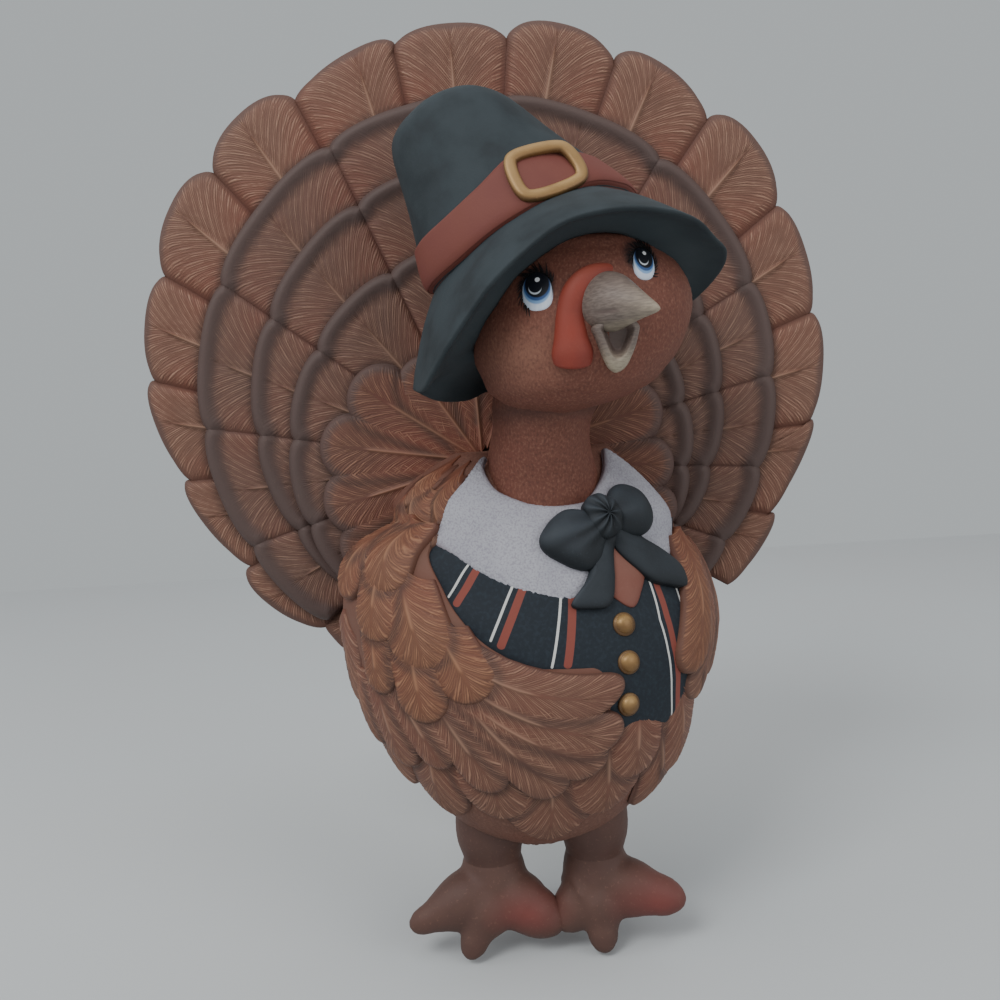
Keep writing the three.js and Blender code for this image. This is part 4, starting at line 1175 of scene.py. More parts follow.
def wedge(start: Array, apex: Array, end: Array, length: float, quill_tip: float, **looks: Any) -> Feather:
    """A tail feather that narrows towards the point where the quills meet.

    Args:
        start: the left notch.
        apex: the top of the lobe.
        end: the right notch.
        length: from the notches inwards.
        quill_tip: where the raised quill ends, as a share of the length to the apex.
        looks: other sizes of the feather.

    Returns:
        The feather.
    """
    middle = (start + end) / 2
    notches = [notch + unit(notch - middle) * 0.7 for notch in (start, end)]
    sides = []
    for notch, lobe in zip(notches, arc_lobe(notches[0], apex, notches[1])):
        sides.append(np.concatenate([[notch + unit(QUILL_POINT - notch) * length], lobe]))
    inward = QUILL_POINT - apex
    reach = np.linalg.norm(inward)
    root = apex + inward / reach * min(length * 1.35 + 12, reach - 3)
    return Feather(sides[0], sides[1], np.stack([root, apex]), quill_share=quill_tip,
                   lobe_from=length / min(map(run_of, sides)), **looks)


def paddle(root: Sequence[float], tip: Sequence[float], half: float, bow: float = 0.0, pointed: float = 0.0,
           slim: float = 0.7, blunt: float = 2.0, **looks: Any) -> Feather:
    """A feather with straight sides and a rounded or pointed tip.

    Args:
        root: where it starts on the plan.
        tip: where it ends.
        half: half its width.
        bow: how far its middle bends to the left, as a share of its length.
        pointed: 0 for a round tip and 1 for a pointed one.
        slim: its width at the root, as a share.
        blunt: how square its tip is, 2 for round.
        looks: other sizes of the feather.

    Returns:
        The feather.
    """
    start, end = np.array(root, float), np.array(tip, float)
    way = end - start
    length = float(np.linalg.norm(way))
    way /= length
    aside = np.array([-way[1], way[0]])
    shares = np.concatenate([np.linspace(0, 0.6, 8), 0.6 + 0.4 * np.sin(np.linspace(0, HALF_TURN / 2, 16))[1:]])
    round_from = max(1 - half * (1 + pointed) / length, 0.15)
    over = np.clip((shares - round_from) / (1 - round_from), 0, 1)
    cap = (1 - over**blunt) ** 0.5 * (1 - pointed) + (1 - over**1.6) * pointed
    widths = half * (slim + (1 - slim) * np.minimum(shares / round_from, 1)) * cap
    spine = start + way * (shares * length)[:, None]
    spine = spine + aside * (bow * length * 4 * shares * (1 - shares))[:, None]
    left, right = spine + aside * widths[:, None], spine - aside * widths[:, None]
    quill = np.concatenate([[start - way * min(half * 0.7, length * 0.4)], spine])
    return Feather(left, right, quill, lobe_from=max(round_from - 0.35, 0.08), **looks)


# ---- Places read off, and moved along lines of sight ----

EYE = np.array([2.62, 476.2, -29.7])  # where the picture was taken from
CAMERA_DIP = math.radians(5.0)
CAMERA_ROLL = math.radians(3.6)


def sight(x: float, z: float, seen: float, depth: float) -> Array:
    """Moves a place along the line of sight.

    Args:
        x: across, on the plane it was read on.
        z: up, on the same plane.
        seen: the depth of that plane.
        depth: where the place really is.

    Returns:
        x, depth and z.
    """
    read = np.array([x, seen, z])
    return EYE + (read - EYE) * (EYE[1] - depth) / (EYE[1] - seen)


def spline(points: Points, count: int, closed: bool = False) -> Array:
    """A smooth curve through points.

    Args:
        points: rows of coordinates.
        count: how many places along it.
        closed: whether it meets its own start, which then isn't written twice.

    Returns:
        One row a place.
    """
    rows = np.array(points, float)
    if closed:
        rows = np.concatenate([rows[-2:], rows, rows[:3]])
    keys = np.arange(len(rows), dtype=float)
    curve = Profile(tuple((key, *row) for key, row in zip(keys.tolist(), rows.tolist())))
    if closed:
        return curve.at(np.linspace(2, len(rows) - 3, count, endpoint=False))
    return curve.at(np.linspace(0, len(rows) - 1, count))


def add_pad(clay: Clay, ground: FanGround | BodyGround, outline: Points, lift: float,
            swell: float, folds: float = 0.0, focus: Sequence[float] | None = None, count: int = 72,
            heart: Sequence[float] | None = None, carve: float = 1.0) -> None:
    """Adds a puffed patch with a rounded edge.

    Args:
        clay: what it is added to.
        ground: what it lies on.
        outline: corners on the plan, smoothed.
        lift: the height of its edge.
        swell: how much its middle rises above the edge.
        folds: how deep the creases are that run to the focus.
        focus: where the creases meet.
        count: how many points the edge has.
        heart: the place that every part of the edge can be seen from, unless that is its middle.
        carve: how much of the carving it takes.
    """
    edge = spline(outline, count, True)
    middle = edge.mean(0) if heart is None else np.array(heart, float)
    reach = np.sin(np.linspace(0, HALF_TURN / 2, 14))[1:]
    plan = middle + (edge - middle)[None] * reach[:, None, None]
    height = lift + swell * np.sqrt(1 - reach[:, None] ** 2) + np.zeros(plan.shape[:2])
    crease = np.zeros_like(height)
    if focus is not None:
        away = plan - np.array(focus, float)
        bearing = np.arctan2(away[..., 1], away[..., 0])
        near = np.exp(-np.linalg.norm(away, axis=-1) / 12)
        crease = near * (0.5 - 0.5 * np.cos(bearing * 9))
        height = height - folds * crease
    outer = ground.rise(plan, height)
    under = ground.rise(plan[-1:], np.full((1, count), 0.0))
    rings = np.concatenate([outer, under])
    # The creases also take painted shade through the hollow mark.
    hollow = np.concatenate([crease, crease[-1:]])
    add_tube(clay, rings, hollow=hollow, carve=np.full_like(hollow, carve))


# ---- The plaque ----


@dataclass
class Piece:
    """A finished form and what the frame has to know of it."""

    shape: bpy.types.Object
    slot: Slot
    nodes: tuple[str, ...] = ()

    def settle(self) -> None:
        if self.nodes:
            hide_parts(*self.nodes)
        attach(self.shape, "root")
        faces = len(self.shape.data.polygons)
        LOG.info("%s stands for %s with %d faces", self.shape.name, ", ".join(self.nodes) or "paint", faces)


class Workshop:
    """Where forms are finished: carved, stippled, painted and declared."""

    def __init__(self) -> None:
        """Builds each node tree once."""
        self.carving, self.stippling = Carving(), Stippling()
        self.sweeping, self.repeating = Sweeping(), Repeating()
        self.seed = 0.0

    def mark_sky(self, shape: bpy.types.Object) -> None:
        """Marks how much each place faces up and to the light, for a painted highlight."""
        normals = np.empty(len(shape.data.vertices) * 3, np.float32)
        shape.data.vertices.foreach_get("normal", normals)
        facing = normals.reshape(-1, 3) @ np.array([-0.2, -0.35, 0.9])
        layer = shape.data.attributes.new("sky", "FLOAT", "POINT")
        layer.data.foreach_set("value", smoothstep(0.1, 0.95, facing).astype(np.float32))

    def feathers(self, clay: Clay, name: str, paint: bpy.types.Material, slot: Slot, nodes: Sequence[str],
                 height: float = 0.42) -> None:
        """Carves and declares a group of feathers.

        Args:
            clay: their bodies.
            name: the piece's name.
            paint: its material.
            slot: its finish in the record.
            nodes: what it stands for.
            height: how deep the barbs are cut.
        """
        self.seed += 3.7
        shape = clay.shape(name)
        self.carving.run(shape, Height=height * MM, Wobble=0.55, Seed=self.seed, Paint=paint)
        Piece(shape, slot, tuple(nodes)).settle()

    def skin(self, clay: Clay, name: str, paint: bpy.types.Material, slot: Slot, nodes: Sequence[str],
             height: float = 0.3, grain: float = 620.0) -> None:
        """Stipples and declares a form.

        Args:
            clay: its bodies.
            name: the piece's name.
            paint: its material.
            slot: its finish in the record.
            nodes: what it stands for.
            height: how rough it is.
            grain: how fine the dabs are, per metre.
        """
        shape = clay.shape(name)
        self.mark_sky(shape)
        self.stippling.run(shape, Height=height * MM, Grain=grain, Paint=paint)
        Piece(shape, slot, tuple(nodes)).settle()

    def smooth(self, clay: Clay, name: str, paint: bpy.types.Material, slot: Slot, nodes: Sequence[str]) -> None:
        """Paints and declares a form as it is.

        Args:
            clay: its bodies.
            name: the piece's name.
            paint: its material.
            slot: its finish in the record.
            nodes: what it stands for.
        """
        shape = clay.shape(name)
        self.mark_sky(shape)
        shape.data.materials.append(paint)
        Piece(shape, slot, tuple(nodes)).settle()

    def fuse(self, shape: bpy.types.Object, grain: float, rounds: int) -> None:
        """Melts a form's bodies into one soft skin.

        Args:
            shape: an object with closed bodies that overlap.
            grain: the size of the new faces, in millimetres.
            rounds: how often the skin is smoothed.
        """
        remesh = shape.modifiers.new("melt", "REMESH")
        remesh.mode, remesh.voxel_size, remesh.use_smooth_shade = "VOXEL", grain * MM, True
        soften = shape.modifiers.new("soften", "SMOOTH")
        soften.factor, soften.iterations = 0.5, rounds
        graph = bpy.context.evaluated_depsgraph_get()
        made = bpy.data.meshes.new_from_object(shape.evaluated_get(graph), depsgraph=graph)
        shape.modifiers.clear()
        old, shape.data = shape.data, made
        bpy.data.meshes.remove(old)
        for mark, value in (("carve", 1.0), ("hollow", 0.0)):
            layer = made.attributes.get(mark) or made.attributes.new(mark, "FLOAT", "POINT")
            layer.data.foreach_set("value", [value] * len(made.vertices))


@dataclass
class TailFan:
    """Sixteen outer feathers, three rings of shorter ones, and the pointed ring round the neck."""

    shop: Workshop
    brown: bpy.types.Material
    dark: bpy.types.Material
    petal: bpy.types.Material
    notches: Rows = (
        (-75.8, -135.5), (-83.6, -125.4), (-115.7, -94.5), (-140.6, -52.6), (-152, -6.2), (-143.5, 41.3),
        (-117, 85.2), (-78.8, 116.3), (-32.9, 135.3), (18.7, 135.9), (66.5, 123.1), (107.1, 95.9), (136.1, 55.3),
        (150.4, 6.7), (146.7, -44.5), (128.2, -85.5), (108, -117.3),
    )
    apexes: Rows = (
        (-80, -133), (-111, -113), (-139, -71), (-156.6, -23.5), (-156.6, 22), (-140, 74), (-106, 112), (-51, 138),
        (-7, 147), (43, 144), (88, 124), (130, 87), (150.5, 37.5), (157.4, -16), (148, -56), (127, -98),
    )
    seams: tuple[float, ...] = (-38, -22, -5, 12.8, 30, 56, 84, 112.5, 142.5, 170, 197, 222)
    rows: Rows = ((-20, 129), (-25, 104), (-45, 88))
    row_step: float = 3.9
    row_back: float = 12.4
    petals: Rows = (
        (-69.2, -93.9, 14), (-77, -69, 15.5), (-77, -39, 15.8), (-60.5, -11.5, 15.8), (-34, -4, 15),
        (-6, 8.4, 14), (23.6, 16.7, 15), (47.8, 13.1, 14), (65, -1, 12),
        (84.1, -101.4, 10.5), (82.3, -80.7, 11.5), (82.4, -58, 13), (78, -30, 15),
    )

    def build(self) -> None:
        """Builds the whole tail."""
        rings = [self.outer(), *(self.row(height, radius) for height, radius in self.rows), self.inner()]
        for k, feather in enumerate(rings[0]):
            clay = Clay()
            feather.add_to(clay, FanGround(BACK), rings[1])
            name = f"tail_feather_{len(rings[0]) - k:02d}"
            self.shop.feathers(clay, "carved_" + name, self.brown, Slot.FEATHER_BROWN, [name], 0.46)
        for number in range(1, len(rings) - 1):
            clay = Clay()
            for feather in rings[number]:
                feather.add_to(clay, FanGround(self.row_back + self.row_step * (number - 1)), rings[number + 1])
            name = f"tail_row_{number + 1}"
            self.shop.feathers(clay, "carved_" + name, self.dark, Slot.FEATHER_DARK, [name], 0.42)
        clay = Clay()
        petals = rings[-1]
        for k, petal in enumerate(petals):
            petal.add_to(clay, FanGround(self.row_back + self.row_step * (len(rings) - 2)), petals[k + 1:])
        self.shop.feathers(clay, "carved_petals", self.petal, Slot.FEATHER_BROWN, ["tail_row_inner"], 0.4)

    def outer(self) -> list[Feather]:
        """The outer feathers, in the order of their notches."""
        edge = [np.array(notch, float) for notch in self.notches]
        return [wedge(edge[k], np.array(apex, float), edge[k + 1], 48, 0.99, rim=3.4, swell=2.6, soft=12,
                      quill_height=1.7, bare=4.6, dark=(0.6, 6.0), glow=0.9, bend=0.3, seam=3.0, fan=0.88,
                      pitch=1.5, quill_girth=0.7) for k, apex in enumerate(self.apexes)]

    def row(self, height: float, radius: float) -> list[Feather]:
        """One ring of shorter feathers.

        Args:
            height: the middle of its round edge.
            radius: of its notches.

        Returns:
            The feathers.
        """
        centre = np.array([0.0, height])
        corners = [self.meet(math.radians(seam), centre, radius) for seam in self.seams]
        middles = [(a + b) / 2 for a, b in zip(self.seams, self.seams[1:])]
        feathers = []
        for k, middle in enumerate(middles):
            apex = self.meet(math.radians(middle), centre, radius + 4.5)
            feathers.append(wedge(corners[k + 1], apex, corners[k], 46, 0.99, rim=1.9, swell=1.5, soft=9, roll=1.5,
                                  rolled=8.5, quill_height=1.1, bare=3.0, dark=(1.0, 11.0), glow=0.6,
                                  root_drop=0.4, bend=0.25, fan=0.84, pitch=1.55, seam=1.6, quill_girth=0.4))
        return feathers

    @staticmethod
    def meet(angle: float, centre: Array, radius: float) -> Array:
        """Where a line from the quills' point meets a circle.

        Args:
            angle: of the line.
            centre: of the circle.
            radius: of the circle.

        Returns:
            The place on the plan.
        """
        way = np.array([math.cos(angle), math.sin(angle)])
        gap = QUILL_POINT - centre
        along = gap @ way
        return QUILL_POINT + way * (-along + math.sqrt(along**2 - gap @ gap + radius**2))

    def inner(self) -> list[Feather]:
        """The ring of feathers round the neck."""
        petals = []
        for x, z, half in self.petals:
            root = QUILL_POINT + (np.array([x, z]) - QUILL_POINT) * 0.22
            petals.append(paddle(root, (x, z), half, pointed=0.05, slim=0.55, blunt=2.5, rim=1.6, swell=2.2, soft=8,
                                 pitch=1.5, quill_height=0.8, quill_share=0.84, bare=3.0, glow=0.6,
                                 dark=(0.8, 6.5), bend=0.25, fan=0.86))
        return petals


@dataclass
class Plumage:
    """The body and the feathers that lie on it."""

    shop: Workshop
    skin: bpy.types.Material
    wing_brown: bpy.types.Material
    golden: bpy.types.Material
    ground: BodyGround = field(default_factory=BodyGround)
    low: float = -215.6
    high: float = -46
    coverts: Rows = (
        (-46, -56, -43, -86, 10, 0, 3.0),
        (-56.5, -116, -57.5, -140, 8.5), (-41, -122, -38.5, -149, 10.8), (-29, -116, -19, -140.5, 10.4),
        (-42, -98, -34.5, -128.5, 13.2), (-53, -92, -55.5, -119.5, 11.2), (-66, -82, -76, -104.5, 9.5),
        (-54, -78, -46, -101, 12.2), (-68, -70, -72, -90, 10, 0, 1.6), (-60, -62, -57.5, -80, 12.5, 0, 2.8),
        (-66, -53, -63, -68, 13, 0, 3.6),
    )
    long_ones: Rows = (
        (-80, -118, -84, -150, 12), (-77, -134, -72, -165, 11), (-60, -138, -56, -170.5, 10.5),
        (-49, -138, -35.5, -167.5, 9.6), (-36, -138, -16.5, -176, 10.2), (-28, -133, 7.5, -178, 10.6, -0.04),
        (-31, -131, 23.5, -168, 9.8, -0.07), (-33, -124, 29.5, -157, 9.8, -0.1),
        (-36, -111, 29, -140.5, 9.6, -0.15),
    )
    belly: Rows = (
        (2.5, -168, 3.5, -204, 25), (-42, -158, -52.5, -193, 15), (48, -158, 62.5, -196, 13),
        (-19, -160, -20.5, -191.5, 18), (25, -162, 27.5, -192.5, 18), (-64, -148, -76, -184, 13),
        (58, -146, 70, -184, 13), (37, -152, 38, -178, 14),
    )
    right_coverts: Rows = ((76, -90, 57, -139.5, 9.5),)
    right_long: Rows = ((92, -98, 88, -150, 10), (80, -100, 67, -153.5, 9.5))
    wing: Rows = (
        (-38.5, -83), (-31, -91.5), (-26, -103), (-22.5, -109.5), (-17, -117.5), (-11, -123), (-2, -128.5),
        (9, -131), (20.5, -130.5), (25.5, -135), (26, -143), (21.5, -156), (6.5, -166), (-16, -167.5),
        (-38, -160), (-58, -147), (-76, -134), (-84, -117.5), (-82, -101.5), (-78, -90), (-72, -80),
        (-62, -74), (-49, -74),
    )

    def build(self) -> None:
        """Builds the body and its feathers."""
        self.build_torso()
        sets = (("left_wing_coverts", self.coverts, self.golden, Slot.FEATHER_GOLDEN, 3.4),
                ("left_wing_feathers", self.long_ones, self.wing_brown, Slot.FEATHER_BROWN, 2.0),
                ("belly_feathers", self.belly, self.wing_brown, Slot.FEATHER_BROWN, -0.6),
                ("right_wing_coverts", self.right_coverts, self.golden, Slot.FEATHER_GOLDEN, 3.0),
                ("right_wing_feathers", self.right_long, self.wing_brown, Slot.FEATHER_BROWN, 1.4))
        above: list[Feather] = []
        for node, rows, paint, slot, lift in sets:
            feathers = [self.feather(row, lift + 0.12 * k) for k, row in enumerate(rows)]
            clay = Clay()
            if node == "left_wing_feathers":
                add_pad(clay, self.ground, self.wing, 2.4, 1.8, heart=(-35, -127), count=160, carve=0.0)
            for k, feather in enumerate(feathers):
                feather.add_to(clay, self.ground, feathers[k + 1:] + above)
            self.shop.feathers(clay, "carved_" + node, paint, slot, [node], 0.38)
            above = feathers + above

    def build_torso(self) -> None:
        """Builds the body under its feathers."""
        heights = np.linspace(self.low, self.high, 90)
        half = self.ground.girth * HALF_TURN / 2 * 0.995
        round_ = np.linspace(-half, half, 110)
        plan = np.stack(np.meshgrid(round_, heights), -1)
        front = self.ground.rise(plan, np.full(plan.shape[:2], -0.8))
        back = front[:, ::-1][:, 2:-2:2].copy()
        back[..., 1] = BACK
        rings = np.concatenate([front, back], 1)
        rings[..., 1] = np.maximum(rings[..., 1], BACK)
        clay = Clay()
        add_tube(clay, rings, carve=1.0, hollow=0.25)
        self.shop.skin(clay, "stippled_torso", self.skin, Slot.FEATHER_BROWN, ["torso"], 0.4, 560.0)

    @staticmethod
    def feather(row: Sequence[float], lift: float) -> Feather:
        """One feather of the body.

        Args:
            row: its root, tip and half width, and perhaps its bow and how deep its root is sunk.
            lift: how far it stands off the body.

        Returns:
            The feather.
        """
        x, z, tip_x, tip_z, half, bow, sink = (*row, 0.0, 0.0)[:7]
        return paddle((x, z), (tip_x, tip_z), half, bow, slim=0.95, rim=1.9, swell=1.6, soft=half * 0.7, pitch=1.45,
                      quill_height=0.45, quill_share=0.8, bare=1.4, root_drop=1.4 + sink * 1.2, glow=0.4,
                      dark=(0.25, 2.4), seam=1.0, lift=lift - sink, bend=0.3, fan=0.84, quill_from=0.45)


@dataclass
class Clothes:
    """Collar, shirt front, vest with its buttons, and the bow."""

    shop: Workshop
    ground: BodyGround = field(default_factory=BodyGround)
    neckline: Rows = (
        (-31, -49.5), (-28, -52.5), (-24, -55), (-20, -57.5), (-13, -62), (-5.5, -65), (2, -67.5), (14, -69),
        (26, -68.5), (31, -66.5), (35, -64.5), (44.5, -59), (50, -55.5), (55, -52), (60, -49),
    )
    collar_edge: Rows = (
        (-29, -56), (-33, -66), (-43.5, -75.5), (-40.5, -81), (-27.5, -85.5), (-19.5, -89.5), (-13.5, -94),
        (-4.5, -100), (5, -104), (15.5, -106.5), (24, -101), (34, -94), (50, -92), (62, -95), (73, -89.5), (74, -70),
    )
    vest_left: Rows = (
        (-46, -72), (-38, -83), (-33, -91.5), (-28, -103), (-24, -109.5), (-19, -117.5), (-12, -124), (-3, -130),
        (9, -134), (20, -140), (23.5, -147.5), (27.5, -157),
    )
    vest_right: Rows = (
        (82, -80), (78, -90), (74, -100), (72, -113), (70, -122), (70, -131.5), (72, -144), (75, -155), (70, -160),
        (62, -160), (54.5, -159.5), (46, -156), (37, -151.5),
    )
    shirt: Rows = (
        (35, -82), (40, -88), (43.5, -94), (45, -98.5), (41, -105), (36, -110.5), (31, -107.5), (28, -102), (32, -92),
    )
    knot: tuple[float, float] = (29, -76)
    buttons: Rows = ((31, -116), (31, -130), (32, -146))
    dome: Rows = (
        (4.7, -0.6), (4.7, 0.5), (4.3, 1.0), (3.9, 1.05), (3.7, 1.5), (3.1, 2.4), (2.1, 3.0), (0.8, 3.3),
    )
    button_lift: float = 2.6
    white_half: float = 0.42
    rust_half: float = 1.35
    stripe_blur: float = 0.7
    whites: tuple[Rows, ...] = (
        ((-15, -86), (-26, -101.5)), ((-1, -94), (-13.5, -118)), ((13.5, -98), (5, -129)),
        ((46, -96), (46, -103.5), (45.5, -116.5), (47.5, -128.5), (50.5, -140.5), (55, -162)),
        ((58, -92), (58, -116)), ((70, -154.5), (72, -162)),
    )
    rusts: tuple[Rows, ...] = (
        ((-12, -88), (-23.2, -104)), ((2.4, -95), (-10.4, -120)), ((17, -98), (10.2, -128.5)),
        ((49.5, -96), (48.6, -105), (49, -115.5), (50.5, -127), (54.2, -140), (58.5, -162)), ((61, -92), (61, -112)),
    )
    bow: tuple[tuple[str, float, float, Rows], ...] = (
        ("bow_left_tail", 5.2, 2.6, ((28, -76), (26.5, -90), (21.5, -99), (14.5, -107.5), (20.5, -109.5),
                                     (27.5, -108.5), (32, -98), (37, -82))),
        ("bow_right_tail", 5.2, 2.6, ((31, -75), (44, -81), (53, -88), (59, -94.5), (63, -101), (61, -107),
                                      (52, -105), (45.5, -102), (40, -95), (35.5, -86))),
        ("bow_right_loop", 5.4, 5.4, ((34, -72), (40, -66.5), (47, -65.5), (53, -68.5), (53.5, -74.5),
                                      (51.5, -81), (47, -84), (40, -82.5), (34, -79))),
        ("bow_left_loop", 6.0, 6.0, ((4.5, -81), (6, -76), (12.5, -72.5), (19, -72.5), (25, -75), (31, -79),
                                     (30.5, -90), (24.5, -95.5), (19, -94.5), (14, -91), (9, -87))),
        ("bow_knot", 8.2, 4.8, ((21, -73.5), (24, -70), (29.5, -68.5), (34.5, -70.5), (36, -75.5), (35, -81.5),
                                (31.5, -84), (26.5, -82.5), (22, -79))),
    )

    def build(self) -> None:
        """Builds every garment."""
        self.build_vest()
        self.build_shirt()
        self.build_collar()
        self.build_buttons()
        self.build_bow()

    def sheet(self, inner: Points, outer: Points, lift: float,
              swell: float, size: tuple[int, int]) -> tuple[Array, Array, Array]:
        """A layer of clay between two lines on the body.

        Args:
            inner: one line of its plan.
            outer: the line it runs to.
            lift: its thickness.
            swell: how much its middle puffs up.
            size: points along the lines and between them.

        Returns:
            The front, the back and the plan of the sheet.
        """
        first, last = spline(inner, size[0]), spline(outer, size[0])
        share = (1 - np.cos(np.linspace(0, HALF_TURN, size[1]))) / 2
        plan = first[:, None] + (last - first)[:, None] * share[None, :, None]
        puff = np.sqrt(np.maximum(1 - (2 * share - 1) ** 4, 0))[None]
        height = lift * (0.35 + 0.65 * puff) + swell * np.sin(share * HALF_TURN)[None] + np.zeros(plan.shape[:2])
        return self.ground.rise(plan, height), self.ground.rise(plan, height * 0), plan

    def build_vest(self) -> None:
        """Builds the vest with the marks of its stripes."""
        front, back, plan = self.sheet(self.vest_left, self.vest_right, 2.4, 0.4, (186, 264))
        clay = Clay()
        white = np.maximum.reduce([self.stripe(plan, line, self.white_half) for line in self.whites])
        rust = np.maximum.reduce([self.stripe(plan, line, self.rust_half) for line in self.rusts])
        add_slab(clay, front, back, white=white, rust=rust)
        self.shop.smooth(clay, "painted_vest", VestPaint().material(), Slot.VEST_BLACK, ["vest"])

    def stripe(self, plan: Array, line: Points, half: float) -> Array:
        """Marks what lies within a painted line.

        Args:
            plan: places on the body.
            line: the middle of the stripe.
            half: half its width.

        Returns:
            1 on the stripe, 0.5 at its edge and 0 beyond it.
        """
        nearest = np.full(plan.shape[:2], 1e9)
        for start, end in zip(np.array(line, float), np.array(line, float)[1:]):
            way = end - start
            share = np.clip(((plan - start) @ way) / (way @ way), 0, 1)
            nearest = np.minimum(nearest, np.linalg.norm(plan - start - share[..., None] * way, axis=-1))
        return np.clip(0.5 + (half - nearest) / self.stripe_blur, 0, 1)

    def build_shirt(self) -> None:
        """Builds the patch of shirt that the vest leaves free."""
        clay = Clay()
        add_pad(clay, self.ground, self.shirt, 3.2, 1.4)
        rust = BrushedPaint("shirt_rust", rgb(120, 70, 58), rgb(150, 110, 96), rgb(90, 50, 44))
        self.shop.smooth(clay, "painted_shirt", rust.material(), Slot.RUST_PAINT, ["shirt_front"])

    def build_collar(self) -> None:
        """Builds the stippled collar."""
        front, back, plan = self.sheet(self.neckline, self.collar_edge, 3.6, 0.8, (260, 110))
        across = np.linspace(0, 1, plan.shape[1])
        # Painted shade along both edges of the collar.
        hollow = 1 - smoothstep(0.0, 0.16, np.minimum(across, 1 - across))
        clay = Clay()
        add_slab(clay, front, back, carve=1 - hollow * 0.6, hollow=hollow)
        self.shop.skin(clay, "stippled_collar", CollarPaint().material(), Slot.COLLAR_WHITE, ["collar"], 0.32, 1100.0)

    def build_buttons(self) -> None:
        """Sets one domed button at each of its places."""
        around = bearings(28)
        rings = np.array([[(r * math.cos(a), h, r * math.sin(a)) for a in around] for r, h in self.dome])
        rings[..., 2] += NAIL_HEIGHT
        clay = Clay()
        # Painted shade round the button's foot, where it meets the vest.
        edge = np.array([float(h < 1.2) for _, h in self.dome])[:, None]
        add_tube(clay, rings, hollow=edge * 0.8)
        button = clay.shape("one_button")
        self.shop.mark_sky(button)
        plan = np.array(self.buttons)
        lift = np.full(len(plan), self.button_lift)
        here = self.ground.rise(plan, lift)
        out = self.ground.rise(plan, lift + 1) - here
        turn_x, turn_z = np.arcsin(out[:, 2]), np.arctan2(out[:, 0], out[:, 1])
        marks = {"turn_x": -turn_x, "turn_z": turn_z, "size": np.ones(len(plan))}
        place = Clay([here * (1, -1, 1)], [[]], [marks])
        buttons = place.shape("domed_buttons")
        gold = GOLD.material()
        self.shop.repeating.run(buttons, Body=button, Paint=gold)
        bpy.data.objects.remove(button)
        nodes = tuple(f"vest_button_{k + 1}" for k in range(len(plan)))
        Piece(buttons, Slot.WORN_GOLD, nodes).settle()

    def build_bow(self) -> None:
        """Builds the bow, each part a piece of its own."""
        # Its light tone is a painted highlight on what faces up; its folds take painted shade.
        black = BrushedPaint("bow_black", rgb(30, 36, 41), rgb(72, 80, 88), rgb(12, 14, 18), 0.6, 0.5)
        paint = black.material()
        for node, lift, swell, outline in self.bow:
            clay = Clay()
            add_pad(clay, self.ground, outline, lift, swell, 1.5, self.knot)
            self.shop.smooth(clay, "tied_" + node, paint, Slot.VEST_BLACK, [node])


# Its light tone is a painted highlight on what faces up.
GOLD = BrushedPaint("worn_gold_leaf", rgb(134, 102, 62), rgb(190, 154, 100), rgb(84, 60, 42), 0.7, 0.6, 0.42, 900.0,
                    0.35)


@dataclass(frozen=True)
class Eye:
    """Where an eye sits and how big it is."""

    x: float
    depth: float
    z: float
    wide: float
    high: float
    aside: float


